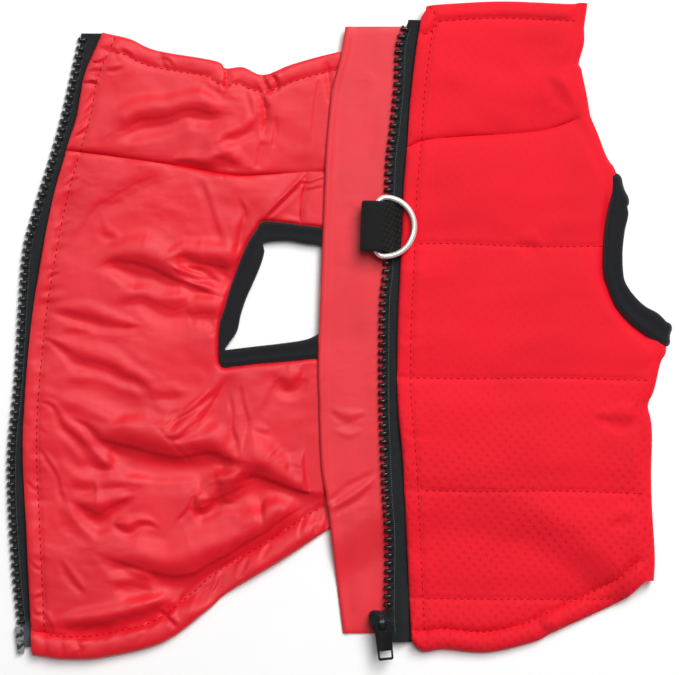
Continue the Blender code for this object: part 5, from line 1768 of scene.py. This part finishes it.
@dataclass(frozen=True)
class CollarStrip(FoldedPanel):
    """The collar: one strip round the fold, with an elastic casing at the neck."""

    def patches(self) -> tuple[Patch, Patch]:
        """The lining side on the table and the shell side on top.

        Returns:
            The two grids.
        """
        whole_seam = LEFT_COLLAR_SEAM.joined(BELLY_COLLAR_SEAM, STRIP_COLLAR_SEAM)
        return (Patch.between(whole_seam, NECK, LEFT_ZIP_HIGH, FOLD_HIGH, COLLAR_ROWS, 290),
                Patch.between(RIGHT_COLLAR_SEAM, COLLAR_TOP, FOLD_HIGH, RIGHT_ZIP_HIGH, COLLAR_ROWS, 100))

    def heights(self, low: Patch, high: Patch) -> tuple[Array, Array]:
        """Gathers at the casing on the lining side, and a smoother top.

        Args:
            low, high: the grids on the table and on top.

        Returns:
            The lining's height on the table, and the puff of the top.
        """
        neck, zip_side = low.from_line(NECK, low.north), low.from_line(LEFT_ZIP, low.west)
        edges = together(CASING_ROLL.relief(neck), PLACKET_ROLL.relief(zip_side), seam(low.south))
        height = lining_height(low, edges)
        height += puckers(51, low.west, neck, CASING, 0.6, 4.4)
        height += puckers(53, low.west, low.south, 0.0, 0.5, 5.0)
        height += stitch_groove(neck - CASING, zip_side - PLACKET)
        low_top = np.clip(height, LOWEST, ceiling(low.x, low.y))
        x, y = high.x, high.y
        top, zip_side = high.from_line(COLLAR_TOP, high.north), high.from_line(RIGHT_ZIP, high.east)
        edges = together(SHELL_CASING.relief(top), SHELL_PLACKET.relief(zip_side), seam(high.south, 1.4))
        soft = 0.45 * Noise(55, 24, 12, 10).at(x, y) + 0.2 * Noise(56, 10, 6, -12).at(x, y)
        puff = 0.8 * (1 - hump(high.south, 8.0)) + edges + soft
        puff += puckers(57, high.west, top, SHELL_CASING.stitch, 0.3, 4.4)
        puff += puckers(59, high.west, high.south, 0.0, 0.3, 5.0)
        puff += stitch_groove(top - SHELL_CASING.stitch, zip_side - SHELL_PLACKET.stitch)
        return low_top, puff + sum(fold.relief(x, y) for fold in RIGHT_FOLDS)

    def stitched(self, high: Patch, face: Array, low: Patch, low_face: Array) -> list[Array]:
        """The casing's line on both sides, and both plackets.

        Args:
            high, low: the grids on top and on the table.
            face, low_face: their surfaces.

        Returns:
            The paths, (n, 3) each.
        """
        neck, left_zip = low.from_line(NECK, low.north), low.from_line(LEFT_ZIP, low.west)
        top, right_zip = high.from_line(COLLAR_TOP, high.north), high.from_line(RIGHT_ZIP, high.east)
        casing = contour(low_face, neck - CASING)
        shows = (casing[:, 0] < 0) & (casing[:, 0] > LEFT_ZIP.x_at(casing[:, 1]) + PLACKET)
        return [casing[shows], upright_contour(low_face, left_zip - PLACKET),
                contour(face, top - SHELL_CASING.stitch),
                upright_contour(face[:, ::-1], right_zip[:, ::-1] - SHELL_PLACKET.stitch)]


@dataclass(frozen=True)
class GuardFlap:
    """The satin flap behind the zip, which lies on the lining and down on the table at its ends."""

    cut: Cut = Cut("guard_flap", "flap", Slot.FLAP, (0.044, 0.237), 0.0085)
    rows: int = 300
    columns: int = 52

    def build(self) -> None:
        """A thin wall with a doubled left edge, a few creases and a soft wave."""
        y = np.linspace(FLAP_FOOT, FLAP_HEAD, self.rows)[:, None]
        west, east = FLAP_EDGE.x_at(y), RIGHT_ZIP.x_at(y) + FLAP_UNDER
        x = west + np.linspace(0, 1, self.columns) * (east - west)
        y = np.broadcast_to(y, x.shape)
        low = bed(x, y)
        free = ease((RIGHT_TIPS.x_at(y) - 1.0 - x) / 5.0) * ease((x - west) / 1.0)
        relief = 0.30 * Noise(61, 9, 46, 3).at(x, y) + 0.14 * Noise(62, 5, 13, -20).at(x, y)
        relief += sum(crease.relief(x, y) for crease in FLAP_CREASES) + 0.55 * hump(x - west - 1.4, 1.5)
        top = low + FLAP * (0.55 + 0.45 * ease((x - west) / 0.7)) + free * relief
        top -= 0.35 * fading(np.minimum(y - FLAP_FOOT, FLAP_HEAD - y), 0.6)
        face, back = np.stack([x, y, np.maximum(top, low + 0.35)], -1), np.stack([x, y, low + 0.02], -1)
        self.cut.declare(wall(self.cut.name, face, back, [FLAP_SATIN]))


# ---------------------------------------------------------------- trims, zip and ring


@dataclass(frozen=True)
class Binding:
    """Folded tape round an armhole's edge, with a row of stitches along its cloth side.

    Attributes:
        section: the tape's section, in parts of its width and height, with its hole side at 0.5.
        high: its height where it lies flat on the table.
        sewn_at: where the stitches lie across it, in parts of its width.
    """

    section: tuple[Place, ...] = ((0.5, -0.1), (0.5, 0.18), (0.45, 0.36), (0.36, 0.47), (0.25, 0.49),
                                  (0.14, 0.42), (0.0, 0.38), (-0.14, 0.42), (-0.27, 0.50), (-0.37, 0.46),
                                  (-0.45, 0.33), (-0.5, 0.12), (-0.5, -0.2), (-0.42, -0.48), (0.0, -0.5),
                                  (0.42, -0.48))
    high: float = 3.7
    sewn_at: float = -0.30

    def strand(self, name: str, node: str, centre: Array, across: Array, up: Array, path: Array) -> None:
        """Sweeps the tape, sews it, and lets both ride on the coat.

        Args:
            name: the tape's name.
            node: the node that it replaces.
            centre, across, up: the section's place and axes at each station.
            path: the row of stitches.
        """
        sewn(swept(name, centre, across, up, self.section, [BINDING], closed=True), node)
        sewn(Stitches(2.1, 1.5, 0.3, 0.06).sew(name + "_stitches", [path], BLACK_THREAD))

    def build_left(self) -> None:
        """A closed band flat on the table."""
        hole, cloth = LEFT_HOLE.hole, LEFT_HOLE.cloth
        run = np.arange(len(hole)) * 1.0
        wave = Noise(71, 9, 9).at(run, run * 0)
        centre = np.column_stack([(hole + cloth) / 2, np.full(len(hole), self.high / 2)])
        up = np.column_stack([np.zeros((len(hole), 2)), self.high * (1 + 0.05 * wave)])
        across = np.column_stack([hole - cloth, 0.25 * wave])
        path = centre + across * self.sewn_at + up * 0.5
        self.strand("left_binding", "binding_left", centre, across, up, np.vstack([path, path[:1]]))

    def build_right(self) -> None:
        """Over the top, round the fold at the chest, back on the table, and round it at the shoulder."""
        hole, cloth = RIGHT_HOLE.hole, RIGHT_HOLE.cloth
        middle = (hole + cloth) / 2
        thick = CLOTH + 0.9
        top_z, low_z = 2 * FOLD_RADIUS - CLOTH / 2 + 0.15, thick / 2 + 0.05
        radius = (top_z - low_z) / 2
        angle = np.linspace(0, np.pi, 16)[1:-1]

        def half_turn(end: int, neighbour: int, turn: Array, slant: float, inset: float) -> tuple[Array, ...]:
            """The tape round the fold, on a half circle.

            Args:
                end: the station where it starts.
                neighbour: a station further in, which shows where outwards is.
                turn: the angles, 0 at the top.
                slant: its hole side is drawn in by half of this, and its cloth side let out by as much.
                inset: how far all of it is drawn in.

            Returns:
                Its centres, widths and thicknesses.
            """
            line = hole[end] - cloth[end]
            out = unit(np.array([line[1], -line[0]]))
            out = out if out @ (middle[end] - middle[neighbour]) > 0 else -out
            normal = np.column_stack([np.outer(np.sin(turn), out), np.cos(turn)])
            outwards = np.outer(np.sin(turn), [*out, 0.0])
            centre = np.array([*middle[end], low_z + radius]) + radius * normal - inset * outwards
            return centre, np.array([*line, 0.0]) - slant * outwards, normal * thick

        chest, shoulder = half_turn(-1, -8, angle, 1.6, 0.0), half_turn(0, 8, angle[::-1], 1.7, 0.85)
        line = np.column_stack([hole - cloth, np.zeros(len(hole))])
        up = np.tile([0.0, 0.0, thick], (len(hole), 1))
        top, low = (np.column_stack([middle, np.full(len(middle), z)]) for z in (top_z, low_z))
        centre = np.concatenate([top, chest[0], low[::-1], shoulder[0]])
        across = np.concatenate([line, chest[1], line[::-1], shoulder[1]])
        through = np.concatenate([up, chest[2], -up, shoulder[2]])
        path = top + line * self.sewn_at + up * 0.5
        self.strand("right_binding", "binding_right", centre, across, through, path)

    def build(self) -> None:
        """Both bindings."""
        self.build_left()
        self.build_right()


@dataclass(frozen=True)
class Zip:
    """Both tapes and both rows of resin teeth.

    Attributes:
        pitch: from tooth to tooth.
        cord: how far the tape's row of stitches lies from its inner edge.
        outline: a tooth seen from above, from its tip at x 0 to its foot, in millimetres.
    """

    pitch: float = 3.18
    cord: float = 2.1
    outline: tuple[Place, ...] = ((0.0, 0.42), (0.0, -0.42), (0.2, -0.86), (0.6, -1.08), (1.0, -0.95),
                                  (1.25, -0.62), (1.7, -0.60), (2.1, -1.0), (3.3, -1.08), (3.7, -0.8),
                                  (3.7, 0.8), (3.3, 1.08), (2.1, 1.0), (1.7, 0.60), (1.25, 0.62), (1.0, 0.95),
                                  (0.6, 1.08), (0.2, 0.86))

    RINGS = ((1.0, 0.0), (1.0, 0.40), (0.88, 0.74), (0.52, 0.96))  # the outline's size at parts of the height

    def teeth(self, name: str, node: str, tips: Line, foot: float, head: float, right: bool) -> None:
        """A row of teeth, square to the tape: each is its outline in four rings with a rounded top.

        Args:
            name: the object's name.
            node: the node that it replaces.
            tips: the line that the tips follow.
            foot, head: the y of the row's two ends.
            right: whether it is the right row, which lies over the flap.
        """
        count = round((head - foot) / self.pitch)
        y = foot + (np.arange(count) + 0.5) * (head - foot) / count
        x = tips.x_at(y)
        along = unit(np.stack([tips.x_at(y + 1) - tips.x_at(y - 1), np.full(count, 2.0)], -1))
        out = np.stack([along[:, 1], -along[:, 0]], -1)
        rest = self.rest(x + 1.5, y) if right else np.zeros(count)
        outline, middle = np.array(self.outline), np.array([1.75, 0.0])
        rings = [middle + (outline - middle) * size for size, _ in self.RINGS]
        tooth = np.concatenate([*rings, middle[None]])
        level = np.append(np.repeat([level for _, level in self.RINGS], len(outline)), 1.0)
        lean = Noise(83, 16, 16).at(y, 0 * y)
        shake = np.random.default_rng(81).uniform(-1, 1, (count, 2))
        plan = (np.stack([x, y], -1)[:, None] + out[:, None] * tooth[:, :1]
                + along[:, None] * (tooth[:, 1:] + 0.06 * shake[:, None, :1]))
        high = level * (TOOTH_HIGH - 0.22 * (tooth[:, 0] < 0.6) + 0.05 * shake[:, 1:]
                        + 0.16 * lean[:, None] * (tooth[:, 0] - middle[0]))
        points = np.dstack([plan, rest[:, None] + high])
        index = np.arange(len(self.RINGS) * len(outline)).reshape(len(self.RINGS), -1)
        faces = np.vstack([halved(between_rings(index)), fan(index[-1][::-1], index.size),
                           fan(index[0], 0)[1:-1]])
        faces = faces[None] + (np.arange(count) * len(tooth))[:, None, None]
        made = mesh_object(name, points.reshape(-1, 3), faces.reshape(-1, 3), [RESIN], sharp=38)
        sewn(made, node)

    def rest(self, x: Array, y: Array) -> Array:
        """Underside of the right teeth: over the flap, and raised at the foot by the slider."""
        return bed(x, y) + CHAIN_LIFT + SLIDER_LIFT * ease((-96.0 - y) / 9.0)

    def tape(self, name: str, node: str, tips: Line, edge: Line, foot: float, head: float,
             right: bool) -> None:
        """A thin woven tape under the teeth's feet, with a beaded edge and a row of cord stitches.

        Args:
            name: the object's name.
            node: the node that it replaces.
            tips: the line of the teeth's tips.
            edge: the cloth's edge, which covers the tape.
            foot, head: the y of the tape's two ends.
            right: whether it is the right tape, which lies over the flap.
        """
        y = np.linspace(foot, head, 260)[:, None]
        west, east = tips.x_at(y) + (2.0 if right else 1.45), edge.x_at(y) + (3.2 if right else 2.0)
        x = west + np.linspace(0, 1, 12) * (east - west)
        y = np.broadcast_to(y, x.shape)
        rest = np.full_like(x, 0.7)
        if right:
            under = ease((x - edge.x_at(y) + 3.4) / 3.0)
            rest += self.rest(west, y) * (1 - under) + (bed(west, y) + CHAIN_LIFT - 0.5) * under
        bead = 0.45 * hump(x - west - 0.9, 0.6)
        tuck = 0.35 * ease((x - edge.x_at(y) + 0.6) / 1.2)
        top = rest + 0.75 + bead - tuck + 0.10 * Noise(85, 4, 17).at(x, y)
        low = rest - 0.05 - bead * 0.8 - tuck
        finish = ZIP_TAPE if right else FILMED_TAPE
        made = wall(name, np.stack([x, y, top], -1), np.stack([x, y, low], -1), [finish])
        cord = np.array([[np.interp(self.cord, x[row] - west[row], values[row]) for values in (x, y, top)]
                         for row in range(4, 257)])
        sewn(Stitches(0.85, 0.5, 0.40, -0.04).sew(name + "_cord", [cord], TAPE_THREAD))
        sewn(made, node)

    def build(self) -> None:
        """Both sides."""
        self.tape("left_zip_tape", "zip_tape_left", LEFT_TIPS, LEFT_ZIP, -123.4, 116.2, right=False)
        self.teeth("left_teeth", "zip_chain_left", LEFT_TIPS, -115.4, 115.4, right=False)
        self.tape("right_zip_tape", "zip_tape_right", RIGHT_TIPS, RIGHT_ZIP, -121.3, 121.0, right=True)
        self.teeth("right_teeth", "zip_chain_right", RIGHT_TIPS, -117.6, 119.8, right=True)

    def dress(self) -> None:
        """Rounds the edges of the slider, the pull, the pin and the box, and gives them their finish."""
        for node, width in (("zip_slider", 0.45), ("zip_pull", 0.4), ("zip_pin", 0.3), ("zip_box", 0.4)):
            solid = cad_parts[node]
            bevel = solid.modifiers.new("rounded", "BEVEL")
            bevel.width, bevel.segments, bevel.limit_method = width * MM, 3, "ANGLE"
            bevel.angle_limit = math.radians(40)
            for slot in solid.material_slots:
                slot.material = (PIN_RESIN if node == "zip_pin" else RESIN).material()


@dataclass(frozen=True)
class LeashRing:
    """The D-ring and the webbing loop that holds it.

    Attributes:
        x, y: where the ring's bar is, in plan.
        bar_z: the bar's height.
        wire: its wire's diameter.
        half: half its length along the bar.
        deep: from the bar to the top of the D.
        corner: the corners' radius.
        turn: the turn in plan, in degrees.
        droop: how the D leans down, in degrees.
        webbing_wide, webbing_thick: the webbing's width and thickness.
        loop: the webbing's path seen from the side, by the distance from the bar and the height.
        sewn_at, sewn_z: where the stitches across the webbing lie.
    """

    x: float = 14.3
    y: float = 40.5
    bar_z: float = 10.1
    wire: float = 2.2
    half: float = 11.4
    deep: float = 14.8
    corner: float = 3.5
    turn: float = -2.2
    droop: float = 2.0
    webbing_wide: float = 19.6
    webbing_thick: float = 1.2
    loop: tuple[Place, ...] = ((9.8, 7.2), (7.6, 7.25), (5.4, 7.85), (1.0, 7.95), (-2.8, 7.95), (-5.2, 9.3),
                               (-5.2, 11.4), (-2.9, 12.9), (1.9, 12.9), (4.9, 11.3), (6.9, 8.9), (9.8, 8.0))
    sewn_at: float = 1.2
    sewn_z: float = 13.5

    def placed(self, points: Array, droop: float = 0.0) -> Array:
        """Points of the ring's own frame in the coat's frame: leant down, then turned in plan.

        Args:
            points: (..., 3).
            droop: how far they lean down, in degrees.

        Returns:
            The turned points.
        """
        tilt, turn = math.radians(droop), math.radians(self.turn)
        x, y, z = points[..., 0], points[..., 1], points[..., 2]
        x, z = x * math.cos(tilt) + z * math.sin(tilt), z * math.cos(tilt) - x * math.sin(tilt)
        x, y = x * math.cos(turn) - y * math.sin(turn), x * math.sin(turn) + y * math.cos(turn)
        return np.stack([x, y, z], -1)

    def build_ring(self) -> None:
        """A round wire carried along a D: a bar, two quarter circles and half an ellipse."""
        corner = np.linspace(0, np.pi / 2, 12)
        start = self.half - self.corner
        first = np.stack([self.corner * (1 - np.cos(corner)), start + self.corner * np.sin(corner)], -1)
        swing = np.linspace(np.pi / 2, -np.pi / 2, 66)[1:-1]
        bow = np.stack([(self.deep - self.corner) * np.cos(swing), self.half * np.sin(swing)], -1)
        bow += (self.corner, 0.0)
        bar = np.stack([np.zeros(12), np.linspace(-start, start, 14)[1:-1]], -1)
        plan = np.concatenate([first, bow, first[::-1] * (1, -1), bar])
        step = unit(np.roll(plan, -1, axis=0) - np.roll(plan, 1, axis=0))
        across = np.column_stack([step[:, 1], -step[:, 0], np.zeros(len(plan))]) * self.wire
        up = np.tile([0.0, 0.0, self.wire], (len(plan), 1))
        angle = np.linspace(0, 2 * np.pi, 25)[:-1]
        section = np.stack([np.cos(angle), np.sin(angle)], -1) / 2
        flat = np.column_stack([plan, np.zeros(len(plan))])
        centre, across, up = (self.placed(part, self.droop) for part in (flat, across, up))
        centre = centre + (self.x, self.y, self.bar_z)
        made = swept("leash_ring", centre, across, up, section, [NICKEL], closed=True)
        sewn(made, "d_ring", "ring")

    def build_webbing(self) -> None:
        """Flat webbing from the seam round the bar and back, with rounded selvedges and a row of stitches."""
        path = Line(*self.loop).at(np.linspace(0, 1, 90))
        step = unit(np.gradient(path, axis=0))
        normal = np.stack([step[:, 1], -step[:, 0]], -1)
        normal *= np.where((normal * (path - (0.5, 10.4))).sum(1) < 0, -1, 1)[:, None]
        level = np.zeros(len(path))
        centre = self.placed(np.column_stack([path[:, 0], level, path[:, 1]])) + (self.x, self.y, 0)
        across = self.placed(np.tile([0.0, self.webbing_wide, 0.0], (len(path), 1)))
        up = self.placed(np.column_stack([normal[:, 0], level, normal[:, 1]])) * self.webbing_thick
        s = np.linspace(-0.5, 0.5, 41)
        crown = np.sqrt(np.clip(1 - np.abs(2 * s) ** 16, 0, 1))
        crown *= 0.42 + 0.08 * np.abs(np.sin(s * np.pi * 17))
        section = np.concatenate([np.stack([s, crown], -1), np.stack([s[::-1], -crown], -1)[1:-1]])
        made = swept("leash_webbing", centre, across, up, section, [WEBBING], closed=False)
        sewn(made, "leash_loop")
        y = np.linspace(-8.6, 8.6, 30)
        row = self.placed(np.stack([np.full(30, self.sewn_at), y, np.zeros(30)], -1))
        row = row + (self.x, self.y, self.sewn_z)
        sewn(Stitches(2.0, 1.4, 0.36, 0.05).sew("webbing_stitches", [row], BLACK_THREAD))

    def build(self) -> None:
        """Ring and webbing."""
        self.build_ring()
        self.build_webbing()


# ---------------------------------------------------------------- stage


@dataclass(frozen=True)
class Stage:
    """The table, the light and the camera.

    Attributes:
        seen: the width that the picture covers on the coat, in metres.
        lens: the camera's focal length.
    """

    seen: float = 0.2648
    lens: float = 150.0

    def table(self) -> None:
        """A large level plane just under the coat, 3 m to each side, in an even grid."""
        u, v = np.meshgrid(np.linspace(-1, 1, 9), np.linspace(-1, 1, 9), indexing="ij")
        points = np.stack([u * 3000, v * 3000, np.full_like(u, -0.25)], -1).reshape(-1, 3)
        index = np.arange(81).reshape(9, 9)
        faces = np.stack([index[:-1, :-1], index[1:, :-1], index[1:, 1:], index[:-1, 1:]], -1).reshape(-1, 4)
        mesh_object("table", points, faces, [TABLE])

    def light(self, name: str, place: tuple[float, float, float], power: float, size: float,
              shines: bool = True, fills: bool = True) -> None:
        """A soft square light that faces the coat.

        Args:
            name: its name.
            place: where it is, in metres.
            power: in watts.
            size: its side, in metres.
            shines: whether it shows in glossy surfaces.
            fills: whether it lights matt ones.
        """
        lamp = bpy.data.lights.new(name, "AREA")
        lamp.energy, lamp.size = power, size
        made = bpy.data.objects.new(name, lamp)
        bpy.context.scene.collection.objects.link(made)
        made.location = place
        made.rotation_euler = (-Vector(place)).to_track_quat("-Z", "Y").to_euler()
        made.visible_glossy, made.visible_diffuse = shines, fills

    def camera(self) -> None:
        """A long lens straight above, set so that the picture's width is what is seen."""
        data = bpy.data.cameras.new("camera")
        data.lens, data.sensor_width = self.lens, 36.0
        data.clip_end = 20.0
        made = bpy.data.objects.new("camera", data)
        bpy.context.scene.collection.objects.link(made)
        made.location = (0.00004, -0.00254, self.seen * self.lens / 36.0 + 0.003)
        bpy.context.scene.camera = made

    def build(self) -> None:
        """Everything that isn't the coat."""
        self.table()
        self.light("key", (0.80, 1.32, 1.50), 24.0, 0.8)
        self.light("rim", (-1.0, 0.5, 0.9), 5.0, 0.25, fills=False)
        self.light("fill", (0.55, 0.80, 2.25), 41.0, 1.4, shines=False)
        self.light("gloss", (0.22, 0.90, 2.2), 24.0, 0.9, fills=False)
        world = bpy.data.worlds.new("studio")
        world.use_nodes = True
        world.node_tree.nodes["Background"].inputs["Color"].default_value = (1, 1, 1, 1)
        world.node_tree.nodes["Background"].inputs["Strength"].default_value = 0.16
        bpy.context.scene.world = world
        bpy.context.scene.view_settings.view_transform = "Standard"
        self.camera()


def main() -> None:
    """Builds the coat piece by piece, then its stage."""
    logging.basicConfig(level=logging.INFO, format="%(message)s")
    LowerLayer().build()
    RightBack(Cut("right_back_panel", "back_right", Slot.SHELL, (0.125, 0.210), 0.0215, "folded")).build()
    CollarStrip(Cut("collar_strip", "collar", Slot.SHELL, (0.285, 0.060), 0.0130, "folded")).build()
    GuardFlap().build()
    Binding().build()
    zipper = Zip()
    zipper.build()
    zipper.dress()
    LeashRing().build()
    Stage().build()


if __name__ == "__main__":
    main()
